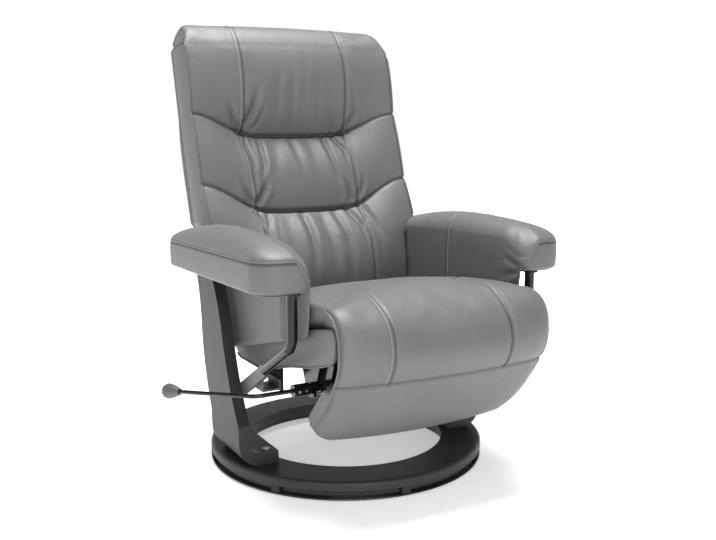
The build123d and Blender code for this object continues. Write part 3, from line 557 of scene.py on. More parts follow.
def node_tree(name, inputs):
    """A Geometry Nodes tree with named lengths as inputs and a material; gives its input and output nodes."""
    tree = bpy.data.node_groups.new(name, "GeometryNodeTree")
    tree.interface.new_socket("Geometry", in_out="INPUT", socket_type="NodeSocketGeometry")
    for label in inputs:
        tree.interface.new_socket(label, in_out="INPUT", socket_type="NodeSocketFloat")
    tree.interface.new_socket("Material", in_out="INPUT", socket_type="NodeSocketMaterial")
    tree.interface.new_socket("Geometry", in_out="OUTPUT", socket_type="NodeSocketGeometry")
    return tree, add_node(tree, "NodeGroupInput"), add_node(tree, "NodeGroupOutput")


def end_tree(tree, entry, exit_node, geometry):
    """Closes a tree with real geometry that carries its material."""
    real = add_node(tree, "GeometryNodeRealizeInstances", {"Geometry": geometry})
    dressed = add_node(tree, "GeometryNodeSetMaterial", {
        "Geometry": real.outputs["Geometry"], "Material": entry.outputs["Material"]})
    tree.links.new(dressed.outputs["Geometry"], exit_node.inputs["Geometry"])


def stitch_tree():
    """Rounded stitches laid end to end along curves."""
    tree, entry, exit_node = node_tree("stitch rows", ("Pitch", "Length", "Radius"))
    points = add_node(tree, "GeometryNodeCurveToPoints", {
        "Curve": entry.outputs["Geometry"], "Length": entry.outputs["Pitch"]}, mode="LENGTH")
    thread = add_node(tree, "GeometryNodeMeshCylinder", {
        "Vertices": 6, "Radius": entry.outputs["Radius"], "Depth": entry.outputs["Length"]},
        fill_type="TRIANGLE_FAN")
    rows = add_node(tree, "GeometryNodeInstanceOnPoints", {
        "Points": points.outputs["Points"], "Instance": thread.outputs["Mesh"],
        "Rotation": points.outputs["Rotation"]})
    end_tree(tree, entry, exit_node, rows.outputs["Instances"])
    return tree


def piping_tree():
    """A round welt that follows curves."""
    tree, entry, exit_node = node_tree("piping", ("Radius",))
    circle = add_node(tree, "GeometryNodeCurvePrimitiveCircle", {
        "Resolution": 10, "Radius": entry.outputs["Radius"]})
    welt = add_node(tree, "GeometryNodeCurveToMesh", {
        "Curve": entry.outputs["Geometry"], "Profile Curve": circle.outputs["Curve"], "Fill Caps": True})
    smooth = add_node(tree, "GeometryNodeSetShadeSmooth", {"Geometry": welt.outputs["Mesh"]})
    end_tree(tree, entry, exit_node, smooth.outputs["Geometry"])
    return tree


def follow_lines(name, tree, lines, values, material):
    """A plain mesh of what a tree makes along lines of points."""
    path = path_curves(name + "_path", lines)
    modifier = path.modifiers.new("follow", "NODES")
    modifier.node_group = tree
    sockets = {s.name: s.identifier for s in tree.interface.items_tree if s.in_out == "INPUT"}
    for label, value in {**values, "Material": material}.items():
        modifier[sockets[label]] = value
    mesh = bpy.data.meshes.new_from_object(path.evaluated_get(bpy.context.evaluated_depsgraph_get()))
    mesh.name = name
    piece = bpy.data.objects.new(name, mesh)
    bpy.context.scene.collection.objects.link(piece)
    bpy.data.objects.remove(path)
    return piece


def tree_named(name, build):
    return bpy.data.node_groups.get(name) or build()


def stitches(name, lines):
    leather = bpy.context.scene.recliner_leather
    sizes = {"Pitch": leather.stitch_pitch, "Length": leather.stitch_length, "Radius": leather.stitch_radius}
    tree = tree_named("stitch rows", stitch_tree)
    piece = follow_lines(name, tree, lines, sizes, material_named("sewing_thread"))
    return piece


def piping(name, lines):
    radius = {"Radius": bpy.context.scene.recliner_leather.piping_radius}
    tree = tree_named("piping", piping_tree)
    piece = follow_lines(name, tree, lines, radius, material_named("pebbled_leather"))
    return piece


# Materials


def new_material(name):
    material = bpy.data.materials.new(name)
    material.use_nodes = True
    material.node_tree.nodes.clear()
    return material, material.node_tree


def tones(tree, fac, colour, dark, light):
    """A ramp from a darker to a lighter tone of a colour."""
    ramp = add_node(tree, "ShaderNodeValToRGB", {"Fac": fac})
    for element, share in zip(ramp.color_ramp.elements, (dark, light)):
        element.color = (*[min(1, c * share) for c in colour[:3]], 1)
    ramp.color_ramp.elements[0].position = 0.3
    ramp.color_ramp.elements[1].position = 0.7
    return ramp.outputs["Color"]


def span(tree, fac, low, high):
    """A 0 to 1 pattern spread between two values."""
    spread = add_node(tree, "ShaderNodeMapRange", {"Value": fac, "To Min": low, "To Max": high})
    return spread.outputs["Result"]


def finish_shader(tree, colour, roughness, normal, **values):
    shader = add_node(tree, "ShaderNodeBsdfPrincipled", {
        "Base Color": colour, "Roughness": roughness, **values})
    if normal is not None:
        tree.links.new(normal, shader.inputs["Normal"])
    add_node(tree, "ShaderNodeOutputMaterial", {"Surface": shader.outputs["BSDF"]})


def pebbled_leather():
    """Pigmented cowhide: an even mid grey with a soft sheen, small raised cells, faint
    stretch creases, and painted shade that darkens its seams, pleats and folds."""
    leather = bpy.context.scene.recliner_leather
    material, tree = new_material("pebbled_leather")
    place = add_node(tree, "ShaderNodeTexCoord").outputs["Object"]
    mottle = add_node(tree, "ShaderNodeTexNoise", {"Vector": place, "Scale": per_metre(90), "Detail": 3})
    crease_and_painted_shade = add_node(tree, "ShaderNodeTexNoise", {
        "Vector": place, "Scale": per_metre(26), "Detail": 6, "Roughness": 0.62, "Distortion": 0.8})
    cells = add_node(tree, "ShaderNodeTexVoronoi", {
        "Vector": place, "Scale": 1 / leather.pebble, "Smoothness": 0.6}, feature="SMOOTH_F1")
    soft = add_node(tree, "ShaderNodeBump", {
        "Height": crease_and_painted_shade.outputs["Fac"], "Strength": 0.35, "Distance": 0.004})
    grain = add_node(tree, "ShaderNodeBump", {
        "Height": cells.outputs["Distance"], "Strength": 0.22, "Distance": 0.0008,
        "Normal": soft.outputs["Normal"]}, invert=True)
    colour = tones(tree, mottle.outputs["Fac"], leather.hide, 0.94, 1.05)
    # Painted shade: the marked attribute darkens the hide toward a fifth of its tone in seams, pleats, folds
    # and beside the piping.
    seams = add_node(tree, "ShaderNodeAttribute", attribute_name="crease_and_painted_shade")
    shaded = add_node(tree, "ShaderNodeMixRGB", {
        "Fac": seams.outputs["Fac"], "Color1": colour, "Color2": (*[c * 0.2 for c in leather.hide[:3]], 1)})
    finish_shader(tree, shaded.outputs["Color"], span(tree, crease_and_painted_shade.outputs["Fac"], 0.44, 0.56),
                  grain.outputs["Normal"], **{"IOR": 1.46, "Sheen Weight": 0.03, "Sheen Roughness": 0.5})
    return material


def sewing_thread():
    """Bonded polyester thread: twisted, a little shinier than the hide."""
    leather = bpy.context.scene.recliner_leather
    material, tree = new_material("sewing_thread")
    place = add_node(tree, "ShaderNodeTexCoord").outputs["Object"]
    twist = add_node(tree, "ShaderNodeTexNoise", {"Vector": place, "Scale": per_metre(1.5), "Detail": 2})
    finish_shader(tree, tones(tree, twist.outputs["Fac"], leather.thread, 0.8, 1.15), 0.45, None)
    return material


def stained_beech(grain):
    """Bent beech, stained charcoal under satin lacquer: fine dark grain lines and a broad soft shine."""
    looks = bpy.context.scene.recliner_frame
    material, tree = new_material("stained_beech_" + grain)
    place = add_node(tree, "ShaderNodeTexCoord").outputs["Object"]
    long_axis, stain = {"upright": (2, looks.posts), "level": (1, looks.ring)}[grain]
    stretch = [per_metre(5)] * 3
    stretch[long_axis] = per_metre(120)
    along = add_node(tree, "ShaderNodeMapping", {"Vector": place, "Scale": stretch})
    lines = add_node(tree, "ShaderNodeTexNoise", {
        "Vector": along.outputs["Vector"], "Scale": 1, "Detail": 5, "Roughness": 0.6, "Distortion": 0.3})
    bump = add_node(tree, "ShaderNodeBump", {
        "Height": lines.outputs["Fac"], "Strength": 0.12, "Distance": 0.0006})
    finish_shader(tree, tones(tree, lines.outputs["Fac"], stain, 0.72, 1.25),
                  span(tree, lines.outputs["Fac"], 0.46, 0.58), bump.outputs["Normal"],
                  **{"IOR": 1.4, "Coat Weight": 0.06, "Coat Roughness": 0.3})
    return material


def lined_board():
    """Plywood lined with black bonded cloth: matt, with an even weave drawn coarser than real."""
    material, tree = new_material("lined_board")
    place = add_node(tree, "ShaderNodeTexCoord").outputs["Object"]
    weave = add_node(tree, "ShaderNodeTexVoronoi", {"Vector": place, "Scale": per_metre(1.2)})
    bump = add_node(tree, "ShaderNodeBump", {
        "Height": weave.outputs["Distance"], "Strength": 0.2, "Distance": 0.0003})
    cloth = tones(tree, weave.outputs["Distance"], hex_colour("#161616"), 0.8, 1.3)
    finish_shader(tree, cloth, 0.85, bump.outputs["Normal"])
    return material


def coated(name, colour, roughness, peel, metallic=0.0, coat=0.0, shine=0.5):
    """Paint, moulding or plating with a fine orange-peel surface of a stated size."""
    material, tree = new_material(name)
    place = add_node(tree, "ShaderNodeTexCoord").outputs["Object"]
    skin = add_node(tree, "ShaderNodeTexNoise", {"Vector": place, "Scale": per_metre(peel), "Detail": 3})
    smudge = add_node(tree, "ShaderNodeTexNoise", {"Vector": place, "Scale": per_metre(45), "Detail": 4})
    bump = add_node(tree, "ShaderNodeBump", {
        "Height": skin.outputs["Fac"], "Strength": 0.08, "Distance": 0.0004})
    values = {"Metallic": metallic, "Coat Weight": coat, "Coat Roughness": 0.1, "Specular IOR Level": shine}
    finish_shader(tree, tones(tree, smudge.outputs["Fac"], colour, 0.88, 1.12),
                  span(tree, smudge.outputs["Fac"], roughness * 0.85, roughness * 1.2),
                  bump.outputs["Normal"], **values)
    return material


def powder_coat():
    """Gloss black powder coat on steel tube: sharp highlights over a faint orange peel."""
    return coated("powder_coat", bpy.context.scene.recliner_frame.black, 0.14, 2.5, shine=0.3)


def grey_paint():
    """Satin grey paint on steel bar: flat and a little uneven."""
    return coated("grey_paint", bpy.context.scene.recliner_frame.grey, 0.42, 3)


def moulded_black():
    """Polished black moulding: a dark mirror-like rim."""
    return coated("moulded_black", bpy.context.scene.recliner_frame.black, 0.2, 6, coat=0.5)


def nylon():
    """Moulded nylon: dull black."""
    return coated("nylon", hex_colour("#141414"), 0.5, 4)


def rubber():
    """Moulded rubber: matt black."""
    return coated("rubber", hex_colour("#101010"), 0.75, 2)


def zinc_plate():
    """Zinc plated steel: bright grey metal, slightly dulled."""
    return coated("zinc_plate", hex_colour("#a9a9a8"), 0.34, 3, metallic=1.0)


def satin_knob():
    """Satin lacquered knob: warm grey with a soft highlight."""
    return coated("satin_knob", hex_colour("#4a4644"), 0.38, 3)


MAKERS = {
    "pebbled_leather": pebbled_leather, "sewing_thread": sewing_thread, "lined_board": lined_board,
    "powder_coat": powder_coat, "grey_paint": grey_paint, "moulded_black": moulded_black, "nylon": nylon,
    "rubber": rubber, "zinc_plate": zinc_plate, "satin_knob": satin_knob,
    "stained_beech_upright": lambda: stained_beech("upright"),
    "stained_beech_level": lambda: stained_beech("level"),
}


def material_named(name):
    return bpy.data.materials.get(name) or MAKERS[name]()


# Backrest


def back_place(forward, along):
    """Side-view places of points forward of the back board's middle and up along it."""
    s, c = math.sin(BACK_LEAN), math.cos(BACK_LEAN)
    y = BACK_PIVOT[0] - forward * c + along * s
    z = BACK_PIVOT[1] + forward * s + along * c
    return np.stack([y, z], -1)


def back_half_width(z, wing_height):
    """Half width of the backrest: narrow between the arms, wide above and behind them."""
    wing = (BACK_HALF_WIDTH - BACK_LOW_HALF_WIDTH) * ease(*wing_height, z)
    foot = (BACK_LOW_HALF_WIDTH - BACK_FOOT_HALF_WIDTH) * ease(*BACK_FOOT_HEIGHT, z)
    return BACK_FOOT_HALF_WIDTH + foot + wing


def back_skin():
    """Unfilled rings of the backrest, their sewing, places on the front and rows of pleats and brow."""
    u = np.linspace(-1, 1, BACK_COLUMNS)
    smile = 0.25 * u ** 2 + 0.75 * ease(0.4, 0.96, np.abs(u))
    at = {}
    for name, middle in BACK_MIDDLE.items():
        middle, side = np.array(middle, float), np.array(BACK_SIDE[name], float)
        share = smile if name in ("lower_pleat", "waist", "upper_pleat") else u ** 2
        at[name] = middle + (side - middle) * share[:, None]
    past = np.clip((np.abs(u) - 1) * BACK_HALF_WIDTH / ROLL_END_WIDTH + 1, 0, 1)
    for name in ("top_front", "top", "top_rear"):
        inward = np.array(ROLL_MIDDLE, float) - at[name]
        inward *= (ROLL_END_DROP * (1 - np.sqrt(1 - past ** 2)) / np.linalg.norm(inward, axis=1))[:, None]
        at[name] = at[name] + inward
    panels = [through(*(at[name] for name in names), count) for names, count in BACK_PANELS]
    flat = joined(*panels)
    side = back_place(flat[..., 0], flat[..., 1])
    rows = len(flat)
    up = flat[:, 0, 1]
    starts = np.cumsum([0] + [len(p) - 1 for p in panels])
    brow = starts[3]
    narrow = 1 - ROLL_NARROWING * ease(brow - 2, brow + 10, np.arange(rows))
    x = u * back_half_width(side[..., 1], BACK_WING_HEIGHT) * narrow[:, None]
    front = np.dstack([x, side])
    along = np.interp(np.arange(rows), [0, brow, rows - 1], [0, *BOARD_TOP])
    along[:brow] = np.interp(up[:brow], [up[0], up[brow]], [0, BOARD_TOP[0]])
    forward = np.interp(along, [0, BOARD_STRAIGHT, *BOARD_TOP], [BOARD_REAR, BOARD_REAR, *BOARD_TOP_FORWARD])
    rear = back_place(forward, along)
    turn = np.linspace(1, -1, INNER_COLUMNS)
    inner = np.empty((rows, len(turn), 3))
    rear_half = back_half_width(rear[:, 1], BACK_REAR_WING_HEIGHT)[:, None]
    inner[..., 0] = rear_half * turn * BACK_INNER_SHARE * narrow[:, None]
    inner[..., 1:] = rear[:, None, :]
    rings = ring_stack(front, inner, BACK_SIDE_COLUMNS, BACK_SIDE_BULGE)
    sewn = np.full(rings.shape[:2], BACK_HOLD)
    sewn[:, BACK_COLUMNS:] = 1
    sewn[:, BACK_COLUMNS:BACK_COLUMNS + BACK_SIDE_COLUMNS] = np.linspace(0.6, 1, BACK_SIDE_COLUMNS)
    sewn[:, -BACK_SIDE_COLUMNS:] = np.linspace(1, 0.6, BACK_SIDE_COLUMNS)
    sewn[:, [0, BACK_COLUMNS - 1]] = EDGE_HOLD
    for row in starts[1:3]:
        sewn[row, :BACK_COLUMNS] = 1
    sewn[:2] = 1
    sewn[-4:] = 1
    return rings, sewn, np.dstack([x, flat[..., 1]]), starts[1:3], brow


class RECLINER_OT_backrest(bpy.types.Operator):
    """Sews and fills the backrest's three rolls, with their pleats, folds, seams, piping and stitches"""
    bl_idname = "recliner.backrest"
    bl_label = "Backrest leather"

    def execute(self, context):
        leather = context.scene.recliner_leather
        rings, sewn, places, pleats, brow = back_skin()
        edge, middle = BACK_SLACK
        cut = cut_wider(rings, lambda u: edge + middle * (1 - ease(0.42, 0.62, np.abs(u))))
        rings = inflate(rings, cut, sewn, leather.pressure, BACK_CAP, soften=5)
        rings = finer(finer(rings, 0, False), 1, True)
        places = finer(finer(places, 0, False), 1, False)
        across, up = places[..., 0], places[..., 1]
        front = across.shape[1]
        row = np.arange(len(rings)) / 2
        lap = leather.stitch_offset * 1000
        depth, crease_and_painted_shade = np.zeros(rings.shape[:2]), np.zeros(rings.shape[:2])
        folds = fold_relief(across, up, BACK_FOLDS)
        depth[:, :front] = folds
        # Painted shade: darkens the leather in its folds, seams and pleats, where the sides pinch below the
        # brow and just inside its piped front edges.
        crease_and_painted_shade[:, :front] = np.clip(folds - 1, 0, 6) * 0.07
        for side in (-1, 1):
            depth[:, :front] += fell_seam(side * across - BACK_SEAM_X, lap)
            crease_and_painted_shade[:, :front] += 0.8 * seam_mark(side * across - BACK_SEAM_X)
        middle = 1 - ease(0.45, 0.7, np.abs(across) / BACK_HALF_WIDTH)
        for pleat in pleats:
            near = np.exp(-((row - pleat) / 0.6) ** 2)[:, None]
            depth[:, :front] += near * (PLEAT_DEPTH[0] + PLEAT_DEPTH[1] * middle)
            crease_and_painted_shade[:, :front] += near * (0.8 + 0.2 * middle)
        pinch = np.exp(-((row - brow - 2) / 1.2) ** 2)[:, None]
        count = 2 * (BACK_SIDE_COLUMNS - 1)
        for sides in (slice(front, front + count), slice(-count, None)):
            depth[:, sides] += PINCH_DEPTH * pinch
            crease_and_painted_shade[:, sides] += 0.7 * pinch
        crease_and_painted_shade[:, [1, front - 2]] += 0.5
        rings = rings - normals_of(rings) * depth[..., None]
        skin = closed_skin("back_leather", rings, material_named("pebbled_leather"), crease_and_painted_shade)
        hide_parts("back_cushion")
        normal = normals_of(rings)
        lines = [line_across(rings + normal * 0.5, across, side * (BACK_SEAM_X + lap)) for side in (-1, 1)]
        threads = stitches("back_stitches", lines)
        lift = (rings + normal * 0.4)[:2 * brow - 6]
        lift = lift[lift[:, 0, 2] > BACK_WING_HEIGHT[1] + 8]
        edges = piping("back_piping", [lift[:, 0], lift[:, front - 1]])
        for piece in (skin, threads, edges):
            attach(piece, "backrest")
        return {"FINISHED"}


def rear_outline(u):
    """Half widths and heights of the rear panel: one row per height along the board."""
    shoulder, (inward, upward) = REAR_PANEL_SHOULDER, REAR_PANEL_CORNER
    straight = np.linspace(REAR_PANEL_FOOT, shoulder, 48)
    along = np.concatenate([straight, shoulder + upward * np.sin(np.linspace(0.08, math.pi / 2, 16))])
    z = back_place(np.full(len(along), -20.0), along)[:, 1]
    half = np.minimum(back_half_width(z, BACK_REAR_WING_HEIGHT) - REAR_PANEL_INSET, REAR_PANEL_HALF_WIDTH)
    half = half - REAR_PANEL_TAPER * ease(420, 560, along)
    corner = np.clip((along - shoulder) / upward, 0, 1)
    half = half - inward * (1 - np.sqrt(np.maximum(0, 1 - corner ** 2)))
    return along, half[:, None] * u


class RECLINER_OT_rear_panel(bpy.types.Operator):
    """Covers the back of the backrest with a crowned leather panel and its piping"""
    bl_idname = "recliner.rear_panel"
    bl_label = "Rear panel"

    def execute(self, context):
        u = np.linspace(1, -1, 61)
        along, x = rear_outline(u)
        rise = 1 - np.linspace(-1, 1, len(along))[:, None] ** 4
        edge, arch, puff = REAR_PANEL_CROWN
        top = REAR_PANEL_SHOULDER + REAR_PANEL_CORNER[1]
        up = along[:, None] + 0 * x
        crown = edge + arch * np.sin(np.pi * along / top)[:, None] + puff * rise * (1 - u[None, :] ** 4)
        ripple = np.sin(x / 61 + up / 90) * np.sin(up / 47 - x / 140) * REAR_PANEL_RIPPLE * rise
        outer = np.dstack([x, back_place(BOARD_REAR - crown - ripple, up)])
        inner = np.dstack([x, back_place(np.full(x.shape, REAR_PANEL_INNER), up)])[:, ::-4]
        rings = ring_stack(outer, inner, 3, -3)
        panel = closed_skin("rear_panel_leather", rings, material_named("pebbled_leather"))
        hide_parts("rear_cover")
        rim = np.concatenate([outer[:, 0], outer[-1, 1:-1], outer[::-1, -1]])
        welt = piping("rear_panel_piping", [rim])
        for piece in (panel, welt):
            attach(piece, "backrest")
        return {"FINISHED"}


# Seat and legrest


def mixed(pair, u):
    """Points between a middle and an end value, by the square of the place across the seat."""
    middle, end = np.array(pair[0], float), np.array(pair[1], float)
    return middle + (end - middle) * (u ** 2)[:, None]


def deck_top(y):
    return DECK_FRONT[1] - DECK_SLOPE * (y - DECK_FRONT[0]) + DECK_THICKNESS


def seat_skin():
    """Unfilled rings of the seat and legrest leather, their share of sewing and the row of the level seam."""
    u = np.linspace(-1, 1, SEAT_COLUMNS)
    radius = (NOSE_RADIUS[0] + (NOSE_RADIUS[1] - NOSE_RADIUS[0]) * u ** 2)[:, None]
    centre = np.array(NOSE, float)

    def nose(angle):
        a = math.radians(angle)
        return centre + radius * np.array([-math.cos(a), math.sin(a)])

    rear = mixed(SEAT_REAR, u)
    top = nose(NOSE_LAP_ANGLE)
    crown = (SEAT_CROWN[0] + (SEAT_CROWN[1] - SEAT_CROWN[0]) * u ** 2)[:, None]
    seam, lip = mixed(FRONT_SEAM, u), mixed(FRONT_LIP, u)
    lip_top = np.broadcast_to(np.array(FRONT_LIP_TOP, float), lip.shape)
    count = SEAT_PANEL_ROWS
    panels = [
        through(rear, bowed(rear, top, -crown), top, count[0]),
        np.stack([nose(a) for a in np.linspace(NOSE_LAP_ANGLE, 0, count[1])]),
        through(nose(0), bowed(nose(0), seam, -CHEEK_BULGE), seam, count[2]),
        through(seam, bowed(seam, lip, -FLAP_BULGE), lip, count[3]),
        through(lip, bowed(lip, lip_top, -LIP_BULGE), lip_top, count[4]),
    ]
    side = joined(*panels)
    starts = np.cumsum([0] + [len(p) - 1 for p in panels])
    rows = np.arange(len(side))
    corner = np.clip((rows - starts[4] + 9) / (starts[5] - starts[4] + 9), 0, 1)
    half = SEAT_HALF_WIDTH - LEGREST_CORNER * (1 - np.sqrt(1 - corner ** 2))
    x = half[:, None] * u
    along = np.gradient(side, axis=0)
    inward = np.stack([along[..., 1], -along[..., 0]], -1) / np.linalg.norm(along, axis=-1, keepdims=True)
    past = np.clip((np.abs(u) - 1) * SEAT_HALF_WIDTH / SEAT_EDGE_ROLL + 1, 0, 1)
    roll = (1 - np.sqrt(1 - past ** 2)) * np.interp(rows, starts, SEAT_EDGE_DROP)[:, None]
    side = side - inward * roll[..., None]
    front = np.dstack([x, side])
    inner_path = [(y, deck_top(y)) for y in SEAT_DECK_Y] + list(LEGREST_INNER)
    inner_side = np.stack([np.interp(rows, starts, [p[k] for p in inner_path]) for k in (0, 1)], -1)
    thin = ease(starts[1] - 6, starts[1] + 6, rows) * (1 - ease(starts[3], starts[3] + 4, rows))
    inner_half = half - 2 - (SEAT_HALF_WIDTH - LEGREST_INNER_X) * thin
    turn = np.linspace(1, -1, INNER_COLUMNS)
    inner = np.empty((len(rows), len(turn), 3))
    inner[..., 0] = inner_half[:, None] * turn
    inner[..., 1:] = inner_side[:, None, :]
    rings = ring_stack(front[::-1], inner[::-1], SEAT_SIDE_COLUMNS, SEAT_SIDE_BULGE)
    level_row, nose_row = len(rows) - 1 - starts[3], len(rows) - 1 - starts[1]
    sewn = np.full(rings.shape[:2], SEAT_HOLD)
    sewn[:, SEAT_COLUMNS:] = 1
    sewn[:, [0, SEAT_COLUMNS - 1]] = EDGE_HOLD
    sewn[level_row, :SEAT_COLUMNS] = 1
    sewn[:5] = 1
    sewn[-3:] = 1
    return rings, sewn, level_row, nose_row, x[::-1]


class RECLINER_OT_seat(bpy.types.Operator):
    """Sews and fills the seat and the legrest as one leather skin that bends over the rounded front edge"""
    bl_idname = "recliner.seat"
    bl_label = "Seat and legrest leather"

    def execute(self, context):
        leather = context.scene.recliner_leather
        rings, sewn, level_row, nose_row, x = seat_skin()
        cut = cut_wider(rings, lambda u: SEAT_SLACK + 0 * u)
        rings = inflate(rings, cut, sewn, leather.pressure * 0.6, SEAT_CAP, soften=14)
        rings = finer(finer(rings, 0, False), 1, True)
        across = finer(finer(x[..., None], 0, False), 1, False)[..., 0]
        front = across.shape[1]
        row = np.arange(len(rings)) / 2
        lap = leather.stitch_offset * 1000
        # Painted shade: darkens the leather along its seams, in the dart's tuck, at the level seam and just
        # inside its piped edges.
        depth, crease_and_painted_shade = np.zeros(rings.shape[:2]), np.zeros(rings.shape[:2])
        panel = ((1 - ease(nose_row - 2, nose_row + 4, row)) * ease(level_row - 1, level_row, row))[:, None]
        for side in (-1, 1):
            depth[:, :front] += panel * fell_seam(side * across - SEAT_SEAM_X, lap)
            crease_and_painted_shade[:, :front] += 0.8 * panel * seam_mark(side * across - SEAT_SEAM_X)
            dart = ((3, 5, [(side * a, b) for a, b in SEAT_DART]),)
            seat = ease(nose_row + 2, nose_row + 6, row)[:, None]
            tuck = seat * fold_relief(across, rings[:, :front, 1], dart)
            depth[:, :front] += tuck
            crease_and_painted_shade[:, :front] += np.clip(tuck, 0, 3) * 0.3
        level = np.exp(-((row - level_row) / 0.5) ** 2)[:, None]
        depth[:, :front] += level * 2.4
        crease_and_painted_shade[:, :front] += level * 0.7
        crease_and_painted_shade[:, [1, front - 2]] += 0.4
        rings = rings - normals_of(rings) * depth[..., None]
        skin = closed_skin("seat_leather", rings, material_named("pebbled_leather"), crease_and_painted_shade)
        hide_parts("seat_cushion", "legrest_roll", "legrest_pad")
        outward = rings + normals_of(rings) * 0.5
        first, last = 2 * level_row, 2 * nose_row + 4
        lines = [line_across(outward, across, side * (SEAT_SEAM_X + lap))[first:last] for side in (-1, 1)]
        threads = stitches("seat_stitches", lines)
        lift = rings + normals_of(rings) * 0.4
        edges = piping("seat_piping", [lift[:2 * nose_row, 0], lift[:2 * nose_row, front - 1]])
        for piece in (skin, threads, edges):
            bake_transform(piece)
        return {"FINISHED"}


# Arms


def arm_outline(step):
    """Plan outline of the left arm, in order, as points round its middle line."""
    x0, x1 = ARM_INNER_X, ARM_INNER_X + ARM_WIDTH
    corners = [(x0, ARM_FRONT_Y), (x1, ARM_FRONT_Y), (x1, ARM_REAR_Y), (x0, ARM_REAR_Y)]
    turn = [(1, 1), (-1, 1), (-1, -1), (1, -1)]
    line = []
    for i, (corner, radius, (sx, sy)) in enumerate(zip(corners, ARM_CORNER_RADII, turn)):
        centre = np.array([corner[0] + sx * radius, corner[1] + sy * radius])
        for a in np.linspace(180 + 90 * i, 270 + 90 * i, 12):
            line.append(centre + radius * np.array([math.cos(math.radians(a)), math.sin(math.radians(a))]))
    line = np.array(line + [line[0]])
    walked = np.concatenate([[0], np.cumsum(np.linalg.norm(np.diff(line, axis=0), axis=1))])
    marks = np.linspace(0, walked[-1], int(walked[-1] / step) + 1)[:-1]
    return np.stack([np.interp(marks, walked, line[:, k]) for k in (0, 1)], -1)


def arm_skin():
    """Unfilled rings of the left arm, from under its edge to its crown, their sewing and the seam's rows."""
    plan = arm_outline(ARM_PLAN_STEP)
    x, y = plan.T
    half = ARM_WIDTH / 2
    middle_y = np.clip(y, ARM_FRONT_Y + ARM_FRONT_SLOPE, ARM_REAR_Y - half)
    middle = np.stack([np.full(len(plan), ARM_INNER_X + half), middle_y], -1)
    inner = (x < ARM_INNER_X + 16) * ease(SKIRT_FRONT_Y - 4, SKIRT_FRONT_Y + 12, y)
    skirt = inner * (1 - ease(SKIRT_REAR_Y - 10, SKIRT_REAR_Y + 14, y))
    skirt_low = SKIRT_FRONT_Z - SKIRT_SLOPE * (y - SKIRT_FRONT_Y)
    low = np.interp(y, (ARM_FRONT_Y, ARM_REAR_Y), ARM_EDGE_Z)
    thick = SKIRT_THICKNESS * (2 - ease(SKIRT_FRONT_Y, SKIRT_FRONT_Y + 70, y))
    corner = (1 - ease(ARM_INNER_X + 2, ARM_INNER_X + 44, x)) * (1 - ease(-350, -270, y))
    seam = np.interp(y, (ARM_FRONT_Y, ARM_REAR_Y), ARM_SEAM_Z) - ARM_SEAM_DROP * corner
    rings = []

    def add(inset, z):
        shrink = np.maximum(1 - inset / half, 0.05)[:, None]
        rings.append(np.c_[middle + (plan - middle) * shrink, z])

    for t in np.linspace(0, 1, 7):
        inset = (34 - 20 * t) * (1 - skirt) + (thick + 1 - t) * skirt
        add(inset, low * (1 - skirt * t) + skirt_low * skirt * t)
    for inset, rise in ((12, -0.3), (5, 0.6), (0.8, 5)):
        add(inset + 0 * x, low * (1 - skirt) + skirt_low * skirt + rise)
    edge_row = len(rings) - 1
    foot = low * (1 - skirt) + skirt_low * skirt + 5
    for t in np.linspace(0, 1, 12)[1:-1]:
        add(-1.2 * np.sin(np.pi * t) + 0.5 + 0 * x, foot + (seam - foot) * t)
    seam_row = len(rings)
    add(1.5 + 0 * x, seam)
    for angle in np.linspace(0, math.pi / 2, 15)[1:]:
        inset = 1.5 + (half - 2) * (1 - math.cos(angle))
        off = middle_y + (y - middle_y) * max(1 - inset / half, 0.05) - ARM_TOP_Y
        falls = [drop * (off / reach) ** 2 for drop, reach in zip(ARM_TOP_FALL, ARM_TOP_REACH)]
        fall = np.where(off < 0, *falls)
        add(inset + 0 * x, seam + (ARM_TOP_Z - fall - seam) * math.sin(angle))
    rings = np.array(rings)
    sewn = np.full(rings.shape[:2], ARM_HOLD)
    sewn[:edge_row + 1] = 1
    sewn[edge_row + 1:seam_row] = ARM_SIDE_HOLD
    sewn[-3:] = 1
    walk = np.arange(len(plan))
    seam_rows = np.where(inner > 0, edge_row, edge_row + (seam_row - edge_row) * ease(0.5, 8, walk))
    rows = np.arange(len(rings))[:, None]
    sewn = np.maximum(sewn, EDGE_HOLD * (np.abs(rows - seam_rows) < 0.6) * (inner == 0))
    return rings, sewn, seam_rows, inner == 0


def crossing(rings, y, low, high):
    """The line where rings cross a depth, on the part of them between two across-places."""
    line = []
    for ring in rings:
        off = ring[:, 1] - y
        for at in np.flatnonzero(np.sign(off) != np.sign(np.roll(off, -1))):
            after = (at + 1) % len(ring)
            t = off[at] / (off[at] - off[after])
            point = ring[at] * (1 - t) + ring[after] * t
            if low <= point[0] <= high:
                line.append(point)
    return np.array(line)


